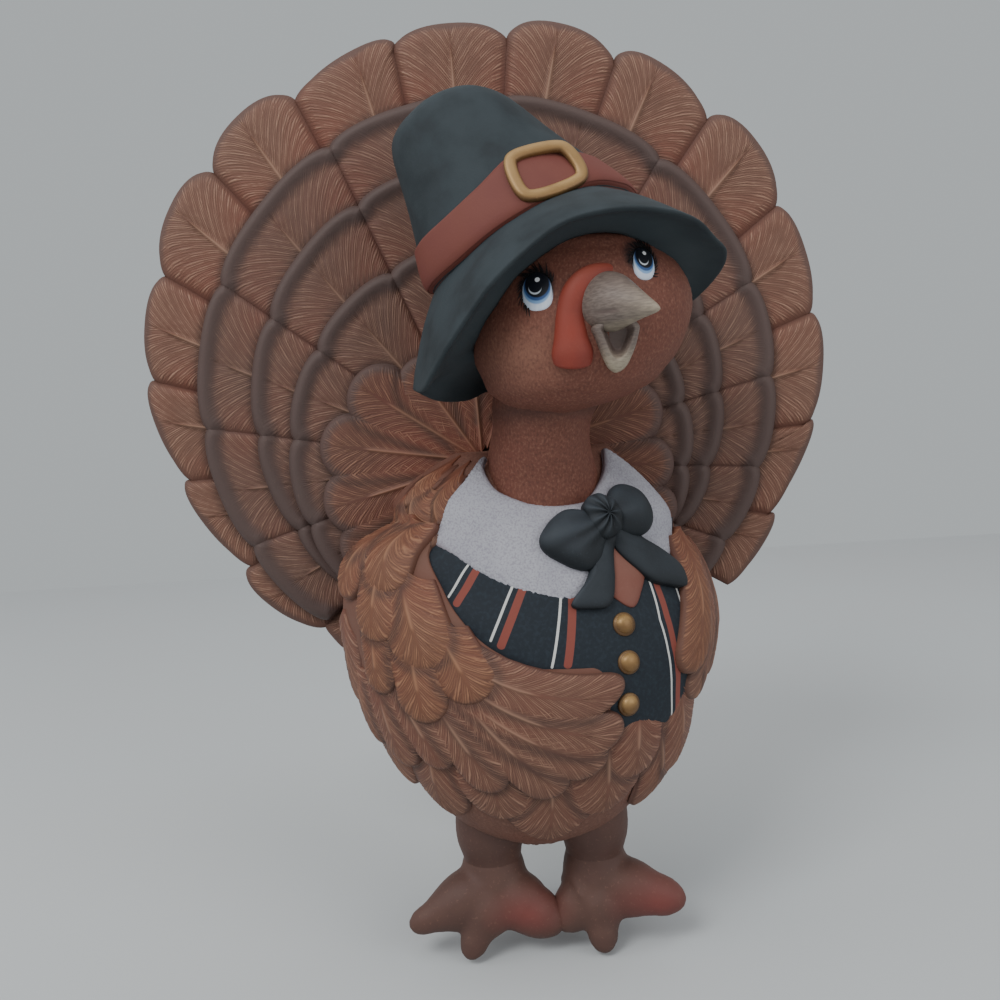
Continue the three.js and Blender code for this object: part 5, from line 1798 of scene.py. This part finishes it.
@dataclass
class Face:
    """Neck, head, eyes with their lashes, beak and snood."""

    shop: Workshop
    head: Profile = Profile((
        (-31.5, 28, 82, 3, 4), (-29, 29, 80, 16, 16), (-24, 32, 77, 28.5, 27), (-15, 35.2, 75, 37, 34.5),
        (-5, 37.3, 74, 42.2, 38), (4, 39.5, 74, 43.6, 39), (12, 41, 73, 43, 38), (20, 41, 72, 40.5, 36.5),
        (28, 40, 71, 36, 33), (35, 40, 70, 28, 28), (39, 40, 70, 14, 16), (40, 40, 70, 3, 4),
    ))
    neck: Profile = Profile((
        (-84, 20, 50, 29, 26), (-66, 20.5, 51, 27, 26), (-58, 20.5, 52, 24.5, 26), (-50, 20.4, 54, 22.3, 26.5),
        (-42, 20.8, 56, 20.8, 27), (-34, 22.3, 58, 20.6, 28), (-26, 25, 60, 23, 30), (-16, 30, 62, 26, 32),
    ))
    scoop: Rows = (
        (44, 1.5), (52, 1.5), (56.4, -1.5), (56.0, -5.5), (54.4, -10.5), (51.4, -16), (47.8, -18), (45, -16.4),
        (43.2, -13), (41.7, -9), (40.3, -5), (39.3, -1.5),
    )
    scoop_heart: tuple[float, float] = (49.0, -3.6)
    scoop_depth: float = 117.6
    scoop_hollow: float = 5.4
    beak: Rows = ((43.4, 93, 7.6), (44.9, 104, 6.9), (48.2, 113, 6.0), (54.2, 120.6, 4.4), (62.0, 126.6, 2.4))
    beak_girths: tuple[float, ...] = (12.6, 12.6, 11.2, 6.6, 0.9)
    snood: Rows = (
        (54, 101, 18.8), (46.0, 107, 18.6), (39.6, 109.5, 16.2), (34.8, 110.5, 11.2), (32.3, 110.8, 3.6),
        (32.0, 110.8, -3.8), (32.2, 110, -10.0), (32.0, 108.5, -15.4),
    )
    snood_girths: tuple[float, ...] = (1.6, 3.4, 4.8, 5.4, 5.4, 6.2, 7.6, 6.4)
    cheek: Triple = (16, 104, -9)
    lash_turns: Rows = ((20, 235), (-45, 170))
    lash_count: int = 26
    eyes: tuple[Eye, ...] = (Eye(21.0, 106.6, 13.4, 5.6, 7.4, -0.22), Eye(60.6, 100.4, 21.6, 4.3, 6.7, 0.42))

    def build(self) -> None:
        """Builds the neck and everything on the head but the hat."""
        paint = SkinPaint().material(self.eyes, self.cheek)
        even = np.linspace(0, 1, 120)
        close_at_ends = (1 - np.cos(even * HALF_TURN)) / 2
        for name, profile, shares in (("neck", self.neck, even), ("head", self.head, close_at_ends)):
            low, high = profile.rows[0][0], profile.rows[-1][0]
            heights = low + (high - low) * shares
            rings = self.loft(profile, heights)
            if name == "head":
                middle = rings[..., 0].mean(1, keepdims=True)
                behind = smoothstep(88, 66, rings[..., 1]) * smoothstep(-10, 8, rings[..., 2])
                rings[..., 0] = middle + (rings[..., 0] - middle) * (1 - 0.16 * behind)
            # Painted shade in a crease round the top of the neck, under the head.
            crease = np.exp(-(((heights + 30) / 4.0) ** 2))[:, None] * (name == "neck")
            clay = Clay()
            add_tube(clay, rings, carve=1.0, hollow=crease * 0.6)
            self.shop.skin(clay, "stippled_" + name, paint, Slot.SKIN_BROWN, [name], 0.24, 1000.0)
        self.build_eyes()
        self.build_lashes()
        self.build_beak()
        self.build_snood()

    @staticmethod
    def loft(profile: Profile, heights: Array, count: int = 170) -> Array:
        """Level rings of a profile.

        Args:
            profile: middle, its depth, and half sizes by height.
            heights: where the rings are.
            count: how many points a ring.

        Returns:
            An array of rings, points and x, depth and z.
        """
        x, depth, wide, thick = (column[:, None] for column in np.moveaxis(profile.at(heights), -1, 0))
        angle = bearings(count)[None]
        return np.stack([x + wide * np.cos(angle), depth + thick * np.sin(angle), heights[:, None] + 0 * angle], -1)

    def front(self, x: Array, z: Array) -> Array:
        """How far out the face is at places on it."""
        middle, depth, wide, thick = np.moveaxis(self.head.at(z), -1, 0)
        return depth + thick * np.sqrt(np.maximum(1 - ((x - middle) / wide) ** 2, 0))

    def build_eyes(self) -> None:
        """Builds both eyes, with marks for the painted iris."""
        paint = EyePaint().material()
        for name, eye in zip(("left_eye", "right_eye"), self.eyes):
            reach = np.sin(np.linspace(0.02, HALF_TURN / 2, 22))[:, None]
            angle = bearings(56)[None]
            u = reach * np.sign(np.cos(angle)) * np.abs(np.cos(angle)) ** 0.86
            v = reach * np.sign(np.sin(angle)) * np.abs(np.sin(angle)) ** np.where(np.sin(angle) < 0, 0.7, 0.94)
            bulge = 3.0 * np.sqrt(1 - reach**2) - 0.2
            x, z = eye.x + u * eye.wide, eye.z + v * eye.high
            depth = self.front(x, z) + bulge * 0.55
            front = np.stack([x + bulge * eye.aside * 0.5, depth, z + 0 * u], -1)
            back = front[-1:].copy()
            back[..., 1] -= 4
            rings = np.concatenate([front, back])
            clay = Clay()
            add_tube(clay, rings, across=np.concatenate([u, u[-1:]]), upright=np.concatenate([v, v[-1:]]))
            self.shop.smooth(clay, "painted_" + name, paint, Slot.EYE_PAINT, [name])

    def build_lashes(self) -> None:
        """Sweeps the dark lashes over each eye."""
        chance = np.random.default_rng(5)
        points, edges, girths = [], [], []
        for eye, turns in zip(self.eyes, self.lash_turns):
            for turn in np.linspace(*turns, self.lash_count):
                angle = math.radians(turn + chance.uniform(-4, 4))
                size = chance.uniform(2.0, 3.8) * (1.15 if 40 < turn < 150 else 0.85)
                first = len(points)
                for share in np.linspace(0, 1, 5):
                    lean = angle + 0.25 * share
                    reach = 1.02 + share * size / eye.high
                    x = eye.x + math.cos(lean) * eye.wide * reach
                    z = eye.z + math.sin(lean) * eye.high * reach
                    out = float(self.front(np.array(x), np.array(z))) + 0.35
                    points.append((x, -out, z))
                    girths.append(0.34 * (1 - share * 0.85))
                edges += [(first + k, first + k + 1) for k in range(4)]
        strands = Clay([np.array(points)], [[]], [{"girth": np.array(girths)}])
        lashes = strands.shape("lashes", edges)
        black = BrushedPaint("lash_black", rgb(22, 18, 20), rgb(60, 46, 42), rgb(10, 8, 8))
        self.shop.sweeping.run(lashes, Sides=6, Paint=black.material())
        Piece(lashes, Slot.EYE_PAINT).settle()

    def build_beak(self) -> None:
        """Builds both halves of the beak."""
        paint = BeakPaint().material()
        upper = limb(self.beak, self.beak_girths, 0.94, 70, 64)
        middle = upper.mean(1, keepdims=True)
        below = np.minimum(upper[..., 2] - middle[..., 2], 0)
        upper[..., 2] -= below * 0.16
        slit = np.exp(-(((upper[..., 0] - 43.8) / 4.2) ** 4)) * np.exp(-(((upper[..., 2] - 3.2) / 0.6) ** 2))
        slit = slit * (upper[..., 1] > 100)
        upper[..., 1] -= slit * 0.9
        clay = Clay()
        tip = smoothstep(0.55, 1.0, np.linspace(0, 1, len(upper)))[:, None]
        lip = smoothstep(0.6, 0.95, below / below.min(1, keepdims=True)) * 0.6
        # Painted shade in the nostril slit.
        add_tube(clay, upper, hollow=slit * 1.2, tip=np.maximum(tip, lip))
        self.shop.smooth(clay, "brushed_upper_beak", paint, Slot.BEAK_GREY, ["upper_beak"])
        self.build_scoop(paint)

    def build_scoop(self, paint: bpy.types.Material) -> None:
        """Builds the lower half of the beak, hollow like a spoon.

        Args:
            paint: its material.
        """
        edge = spline(self.scoop, 64, True)
        heart = np.array(self.scoop_heart)
        share = np.linspace(0, 1, 30)[1:, None]
        plan = heart + (edge - heart)[None] * share[..., None]
        wall = smoothstep(0.4, 0.72, share)
        turned = np.sqrt(1 - np.clip((share - 0.66) / 0.34, 0, 1) ** 2)
        depth = self.scoop_depth + plan[..., 1] * 0.2 - self.scoop_hollow * (1 - wall) - 4.0 * (1 - turned)
        front = np.stack([plan[..., 0], depth, plan[..., 1]], -1)
        back = np.stack([edge[:, 0], np.full(len(edge), 96.0), edge[:, 1] * 0.7], -1)[None]
        rings = np.concatenate([front, back])
        pale = smoothstep(7, 16, -rings[..., 2])
        # Painted shadow of the upper beak in the scoop's hollow.
        hollow = np.zeros(rings.shape[:2])
        hollow[:-1] = 1 - smoothstep(0.42, 0.78, share)
        clay = Clay()
        add_tube(clay, rings, hollow=hollow, tip=pale)
        self.shop.smooth(clay, "brushed_lower_beak", paint, Slot.BEAK_GREY, ["lower_beak"])

    def build_snood(self) -> None:
        """Builds the red snood that falls over the beak."""
        clay = Clay()
        rings = limb(self.snood, self.snood_girths, 0.8, 60, 40)
        add_tube(clay, rings, carve=1.0)
        red = BrushedPaint("snood_red_paint", rgb(138, 58, 45), rgb(158, 84, 66), rgb(104, 46, 40), 0.4, 0.5, 0.6)
        self.shop.smooth(clay, "painted_snood", red.material(), Slot.SNOOD_RED, ["snood"])


@dataclass
class Hat:
    """The hat: a brim that sweeps down at its sides, a tilted crown, a band and a buckle."""

    shop: Workshop
    rim: Rows = (
        (-28, -19, 85, 84), (-23.6, -20, 110, 97), (-19.7, -14.4, 110, 105), (-12.3, -3.3, 110, 112),
        (-3.2, 8.5, 110, 117), (4, 17, 110, 120), (14.5, 26.1, 110, 122), (31.7, 37.3, 110, 123),
        (51.7, 40.9, 110, 122), (68, 39.3, 110, 117), (79.5, 35.1, 110, 109), (91.6, 32.3, 85, 100),
        (95.6, 26.6, 85, 89), (92.2, 18.8, 85, 76), (81, 8.5, 85, 60), (62, -2, 85, 40), (40, -8, 85, 30),
        (18, -16, 85, 31), (-0.2, -21, 85, 44), (-8.5, -24, 85, 55), (-19.4, -23.4, 85, 70),
    )
    under: Rows = (
        (-1, -12, 105, 76), (-4.3, -8.4, 105, 82), (-2, -4, 105, 88), (1, 2, 105, 94), (5.2, 7.7, 105, 98),
        (10, 14, 105, 101), (16, 20, 105, 103), (31.8, 29.9, 105, 104), (44.4, 33, 105, 104),
        (54, 32.3, 105, 102), (60, 30, 105, 99), (65, 27, 105, 95), (69, 22, 105, 90), (72, 17, 105, 84),
        (72, 8, 105, 70), (60, 0, 85, 48), (40, -2, 85, 36), (20, -6, 85, 36), (6, -13, 85, 47),
        (0, -15, 85, 56), (-2, -14, 85, 66),
    )
    foot_seen: float = 95
    foot: Rows = (
        (-19.7, 19.2, 74), (-18, 22, 82), (-14, 25.5, 88), (-8.1, 29.9, 93), (-2, 34.5, 96),
        (5, 39.4, 98), (14, 44.4, 99), (28, 50.6, 98), (44, 55, 91), (54, 53.5, 80),
        (58, 51, 72), (59, 48, 62), (56, 44, 51), (49, 40, 40), (40, 37, 32),
        (28, 33, 28), (15, 29, 28), (2, 25, 32), (-8, 21, 41), (-14, 19, 52),
        (-18, 18, 63),
    )
    top: Triple = (-11.0, 60.0, 89.0)
    crown: Rows = (
        (-0.06, 0.98), (0.0, 1.0), (0.1, 0.965), (0.22, 0.905), (0.4, 0.815), (0.6, 0.725), (0.8, 0.645),
        (0.92, 0.59), (1.0, 0.53), (1.05, 0.46), (1.09, 0.37), (1.12, 0.26), (1.135, 0.14), (1.14, 0.03),
    )
    band: tuple[float, float] = (-0.05, 0.26)
    bar_half: float = 2.5
    bar_rise: float = 1.7
    corner: float = 0.2
    buckle: Rows = (
        (12.9, 63.2, 99.5, 93.5), (34.2, 67.2, 97.5, 89.5), (41.6, 54.0, 99.5, 94), (18.6, 46.6, 104.5, 101),
    )

    def build(self) -> None:
        """Builds the whole hat."""
        # Its light tone is a painted sheen on what faces up; its pale third tone goes in soft clouds and, under the
        # brim, is painted light.
        black = BrushedPaint("hat_black_paint", rgb(31, 38, 42), rgb(50, 60, 65), rgb(62, 71, 75), 0.8, 0.35, 0.75)
        paint = black.material()
        self.build_brim(paint)
        self.build_crown(paint)
        self.build_band()
        self.build_buckle()

    def lines(self) -> tuple[Array, Array, Array]:
        """The rim, the line under it and the foot of the crown, point for point."""
        foot = [(x, z, self.foot_seen, depth) for x, z, depth in self.foot]
        keys = [[sight(*row) for row in line] for line in (self.rim, self.under, foot)]
        return tuple(spline(line, 220, True) for line in keys)

    def build_brim(self, paint: bpy.types.Material) -> None:
        """Builds the brim from its three lines.

        Args:
            paint: its material.
        """
        rim, under, foot = self.lines()
        up = unit(np.array(self.top) - foot.mean(0))
        inner = foot + (foot.mean(0) - foot) * 0.12
        slope = inner + (rim - inner) * 0.55 + up * 2.2
        deep = under + (foot.mean(0) - under) * 0.06
        hollow = under + (rim - under) * 0.5 + up * 1.6
        out = unit(rim - foot.mean(0))
        section = [inner, slope, rim + up * 1.5 - out * 1.5, rim, rim - up * 1.5 - out * 1.2, hollow, deep]
        keys = (0, 0.4, 0.66, 0.72, 0.78, 0.9, 1.0)
        curve = Profile(tuple((key, *row.ravel().tolist()) for key, row in zip(keys, section)))
        places = np.concatenate([np.linspace(0, 0.62, 22), np.linspace(0.63, 0.8, 16), np.linspace(0.82, 1, 14)])
        rings = curve.at(places).reshape(len(places), -1, 3).transpose(1, 0, 2)
        # Painted light under the brim: this mark takes the underside to the hat paint's pale third tone.
        shade = np.concatenate([np.zeros(22), np.linspace(0, 0.5, 16) ** 2, np.linspace(0.4, 1, 14)])
        clay = Clay()
        add_tube(clay, rings, True, hollow=shade[None], carve=1.0)
        self.shop.skin(clay, "painted_brim", paint, Slot.HAT_BLACK, ["hat_brim"], 0.1, 900.0)

    def ring_at(self, height: float | Array, width: float | Array, out: float = 0.0) -> Array:
        """A level ring of the crown.

        Args:
            height: 0 at its foot and 1 where the top turns over.
            width: as a share of the foot's.
            out: how far outside the crown it lies.

        Returns:
            The points of the ring.
        """
        foot = self.lines()[2]
        centre = foot.mean(0)
        away = foot - centre
        size = np.linalg.norm(away, axis=1)[:, None]
        return centre + (np.array(self.top) - centre) * height + away * width + away / size * out

    def build_crown(self, paint: bpy.types.Material) -> None:
        """Builds the crown.

        Args:
            paint: its material.
        """
        heights = spline(self.crown, 90)
        rings = np.stack([self.ring_at(height, width) for height, width in heights])
        clay = Clay()
        add_tube(clay, rings, carve=1.0)
        self.shop.skin(clay, "painted_crown", paint, Slot.HAT_BLACK, ["hat_crown"], 0.1, 900.0)

    def width_at(self, height: Array) -> Array:
        """The crown's width at each height."""
        table = np.array(self.crown)
        return np.interp(height, table[:, 0], table[:, 1])

    def build_band(self) -> None:
        """Wraps the band round the foot of the crown."""
        low, high = self.band
        outside = [(low, 0.2), (low + 0.015, 1.1), (low + 0.04, 1.5), (high - 0.04, 1.5), (high - 0.015, 1.1),
                   (high, 0.2), (high, -1.5), (low, -1.5)]
        foot = self.lines()[2]
        rise = np.exp(-(((foot[:, :1] - 27) / 15) ** 2)) * smoothstep(75, 90, foot[:, 1:2]) * 0.1
        loops = []
        for height, out in spline(outside, 40, True):
            level = height + rise * np.clip((height - low) / (high - low), 0, 1)
            loops.append(self.ring_at(level, self.width_at(level), out))
        clay = Clay()
        rings = np.stack(loops).transpose(1, 0, 2)
        add_tube(clay, rings, True, carve=1.0)
        rust = BrushedPaint("band_rust", rgb(109, 58, 51), rgb(124, 73, 65), rgb(110, 58, 46), 0.4, 0.6)
        self.shop.smooth(clay, "painted_band", rust.material(), Slot.RUST_PAINT, ["hat_band"])

    def build_buckle(self) -> None:
        """Builds the square buckle as a flat bar bent round its corners."""
        corners = [sight(*row) for row in self.buckle]
        frame = []
        for k, corner in enumerate(corners):
            before, after = corners[k - 1], corners[(k + 1) % 4]
            for way in (before, after):
                frame.append(corner + (way - corner) * self.corner)
        loop = spline(frame, 96, True)
        along = unit(np.roll(loop, -1, 0) - np.roll(loop, 1, 0))
        out = np.cross(corners[1] - corners[0], corners[3] - corners[0])
        out = unit(out * np.sign(out[1]))
        side = np.cross(along, out)
        angle = bearings(18)
        shape_u = np.sign(np.cos(angle)) * np.abs(np.cos(angle)) ** 0.75
        shape_v = np.sign(np.sin(angle)) * np.abs(np.sin(angle)) ** 0.75
        across = side[:, None] * shape_u[:, None] * self.bar_half
        rings = loop[:, None] + across + out * shape_v[:, None] * self.bar_rise
        clay = Clay()
        # Painted shade on the back of the bar, the side towards the wall.
        add_tube(clay, rings, True, hollow=np.maximum(-shape_v, 0)[None])
        self.shop.smooth(clay, "gilt_buckle", GOLD.material(), Slot.WORN_GOLD, ["hat_buckle"])


@dataclass
class Legs:
    """Two stout legs and two feet of three toes, melted together as the clay is."""

    shop: Workshop
    leg_girths: tuple[float, ...] = (17.2, 15.4, 12.8, 11.4)
    foot_girths: tuple[float, ...] = (9.6, 12.7, 14.6, 14.6)
    lean: float = 0.1
    legs: tuple[tuple[str, Triple], ...] = (
        ("left_leg", (-10.5, 50, -226)), ("right_leg", (34.5, 50, -226)),
    )
    toes: tuple[tuple[str, Rows], ...] = (
        ("left_foot", ((-47.0, 62, -248.0, 6.0), (-23.0, 67, -260.6, 6.2), (17.0, 61, -252.2, 10.4))),
        ("right_foot", ((17.0, 60, -252.4, 10.2), (35.5, 67, -261.6, 6.6), (70.5, 62, -243.6, 8.4))),
    )

    def build(self) -> None:
        """Builds both legs and both feet."""
        paint = SKIN_OF_FEET.material()
        for (leg, ankle), (foot, toes) in zip(self.legs, self.toes):
            x, depth, z = ankle
            clay = Clay()
            top = (x + (12.5 - x) * self.lean, depth + 2, z + 26)
            add_tube(clay, limb([top, (x, depth + 2, z + 14), (x, depth + 1, z + 4), (x, depth, z - 10)],
                                self.leg_girths, 0.95, 30, 32))
            self.melt(clay, leg, paint)
            clay = Clay()
            add_tube(clay, limb([(x, depth + 2, z + 11), (x, depth + 1, z + 3), (x, depth + 1, z - 6),
                                 (x, depth + 3, z - 17)], self.foot_girths, 0.95, 30, 32))
            for toe in toes:
                tip = np.array(toe[:3])
                knuckle = np.array([x, depth + 2, z - 12])
                way = tip - knuckle
                end = unit(way) * toe[3]
                add_tube(clay, limb([knuckle, knuckle + way * 0.4 + (0, 1, 1), tip - end * 1.5 + (0, 1, 0.6),
                                     tip - end * 0.7, tip - end * 0.1, tip + end * 0.2],
                                    [14.2, 12.8, toe[3] * 1.12, toe[3] * 0.96, toe[3] * 0.6, toe[3] * 0.2],
                                    0.9, 40, 32))
            self.melt(clay, foot, paint)

    def melt(self, clay: Clay, node: str, paint: bpy.types.Material) -> None:
        """Args:
            clay: its limbs.
            node: what it stands for.
            paint: its material.
        """
        shape = clay.shape("molten_" + node)
        self.shop.fuse(shape, 1.0, 16)
        self.shop.mark_sky(shape)
        self.shop.stippling.run(shape, Height=0.12 * MM, Grain=500.0, Paint=paint)
        Piece(shape, Slot.SKIN_BROWN, (node,)).settle()


@dataclass(frozen=True)
class FeetPaint:
    """Smooth brown with a red blush on some toes and a painted highlight on what faces up."""

    name: str = "blushed_feet"
    blushes: Rows = ((60, 62, -241, 26, 34, 16), (4, 66, -243, 22, 26, 13))

    def material(self) -> bpy.types.Material:
        """Mixes the paint."""
        paint = Paint(self.name, 0.6)
        cloud, speck = paint.noise(55.0, 4.0), paint.noise(800.0, 2.0)
        paint.coat(cloud.step(0.3, 0.7) * 0.6, rgb(78, 56, 50), rgb(90, 64, 56))
        for blush in self.blushes:
            near = (1.0 - paint.near(blush[:3], blush[3:])).held() * (0.5 + cloud)
            paint.coat(near * 0.8, rgb(124, 62, 57))
        # Painted highlight on what faces up.
        paint.coat(paint.mark("sky") * 0.12, rgb(118, 86, 76))
        paint.coat(speck.step(0.6, 0.75) * 0.15, rgb(160, 120, 100))
        return paint.close(speck, 0.06)


SKIN_OF_FEET = FeetPaint()


@dataclass
class Studio:
    """Pale floor, soft lamps and the camera at the picture's angle."""

    floor_size: float = 6.0
    far_ends: tuple[float, float] = (1.15, 1.0)
    pale: Triple = rgb(207, 212, 213)
    aim: Triple = (0, 0, -0.08)
    lamps: tuple[tuple[str, Triple, float, float], ...] = (
        ("key", (-0.9, -1.5, 1.5), 0.9, 24), ("fill", (1.3, -1.3, 0.5), 1.2, 9),
        ("left", (-1.7, -0.5, 0.9), 1.0, 6), ("top", (0.2, -0.5, 1.9), 1.2, 7),
    )

    def build(self, lowest: float) -> None:
        """Sets up everything round the plaque.

        Args:
            lowest: the height of the plaque's lowest point, in metres.
        """
        self.build_floor(lowest)
        self.build_world()
        self.build_lamps()
        self.build_camera()

    def build_floor(self, lowest: float) -> None:
        """Lays the floor just under the plaque, up to where the pale sky begins."""
        half = self.floor_size / 2
        left, right = self.far_ends
        mesh = bpy.data.meshes.new("floor")
        corners = [(-half, -half, lowest), (half, -half, lowest), (half, right, lowest), (-half, left, lowest)]
        mesh.from_pydata(corners, [], [(0, 1, 2, 3)])
        floor = set_out("floor", mesh)
        paint = Paint("floor_paint", 0.9)
        grain = paint.noise(3.0, 3.0)
        paint.coat(grain.step(0.3, 0.7) * 0.3, rgb(206, 207, 206), self.pale)
        mesh.materials.append(paint.close())
        floor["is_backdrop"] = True

    def build_world(self) -> None:
        """Lights the plaque evenly and shows a pale sky behind it."""
        world = bpy.data.worlds.new("studio")
        bpy.context.scene.world = world
        world.use_nodes = True
        tree = Tree(world.node_tree)
        background = world.node_tree.nodes["Background"]
        rays = {name: tree.node("ShaderNodeLightPath", out=f"Is {name} Ray") for name in ("Camera", "Glossy")}
        light = tree.mix(rays["Glossy"], rgb(238, 240, 244), rgb(222, 223, 223))
        tree.feed(background.inputs["Color"], tree.mix(rays["Camera"], light, rgb(180, 185, 187)))
        tree.feed(background.inputs["Strength"], rays["Camera"] * 0.5 + rays["Glossy"] * 0.45 + 0.5)

    def build_lamps(self) -> None:
        """Adds soft square lamps that look at the plaque: each a name, a place, a side and a power in watts."""
        for name, place, side, power in self.lamps:
            light = bpy.data.lights.new(name, "AREA")
            light.size, light.energy = side, power
            lamp = set_out(name, light)
            lamp.location = place
            lamp.rotation_euler = (Vector(self.aim) - Vector(place)).to_track_quat("-Z", "Y").to_euler()

    @staticmethod
    def build_camera() -> None:
        """Puts the camera where the picture was taken from."""
        camera = bpy.data.cameras.new("camera")
        camera.lens, camera.sensor_width, camera.sensor_fit = 36, 36, "AUTO"
        view = set_out("camera", camera)
        ahead = Vector((0, math.cos(CAMERA_DIP), -math.sin(CAMERA_DIP)))
        level = Vector((0, math.sin(CAMERA_DIP), math.cos(CAMERA_DIP)))
        up = Vector((math.sin(CAMERA_ROLL), 0, 0)) + level * math.cos(CAMERA_ROLL)
        right = ahead.cross(up).normalized()
        up = right.cross(ahead)
        view.rotation_euler = Matrix((right, up, -ahead)).transposed().to_euler()
        view.location = Vector((EYE[0], -EYE[1], EYE[2] - NAIL_HEIGHT)) * MM
        bpy.context.scene.camera = view


class Plaque:
    """The whole plaque and the paints that its parts share."""

    def __init__(self) -> None:
        """Prepares the workshop and the paints."""
        self.shop = Workshop()
        self.brown = FeatherPaint("feather_brown_paint").material()
        self.dark = FeatherPaint("feather_dark_paint", rgb(98, 71, 61), rgb(152, 120, 101)).material()
        petal = FeatherPaint("feather_petal_paint", rgb(100, 66, 55), rgb(164, 122, 98), glow=rgb(134, 68, 54))
        self.petal = petal.material()
        self.golden = FeatherPaint("feather_golden_paint", rgb(112, 74, 55), rgb(162, 119, 90)).material()
        self.wing_brown = FeatherPaint("feather_wing_paint", rgb(106, 73, 60), rgb(160, 124, 102)).material()
        body = SkinPaint("body_skin", rgb(116, 80, 67), rgb(150, 114, 96), rgb(76, 52, 45))
        self.skin = body.material((), (0, 0, -300))

    def build(self, frame: dict[str, Any]) -> None:
        """Builds every part and paints the carried-over wall.

        Args:
            frame: what the frame handed over.
        """
        TailFan(self.shop, self.brown, self.dark, self.petal).build()
        Plumage(self.shop, self.skin, self.wing_brown, self.golden).build()
        Clothes(self.shop).build()
        Face(self.shop).build()
        Hat(self.shop).build()
        Legs(self.shop).build()
        wall = frame["nodes"]["rear_wall"]
        wall = bpy.data.objects[wall] if isinstance(wall, str) else wall
        wall.data.materials.clear()
        wall.data.materials.append(ClayPaint().material())


def main() -> None:
    """Builds the plaque and the studio over the frame."""
    logging.basicConfig(level=logging.INFO, format="%(message)s")
    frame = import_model()
    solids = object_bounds()
    Plaque().build(frame)
    Studio().build(solids[0][2] - 0.0005)


if __name__ == "__main__":
    main()
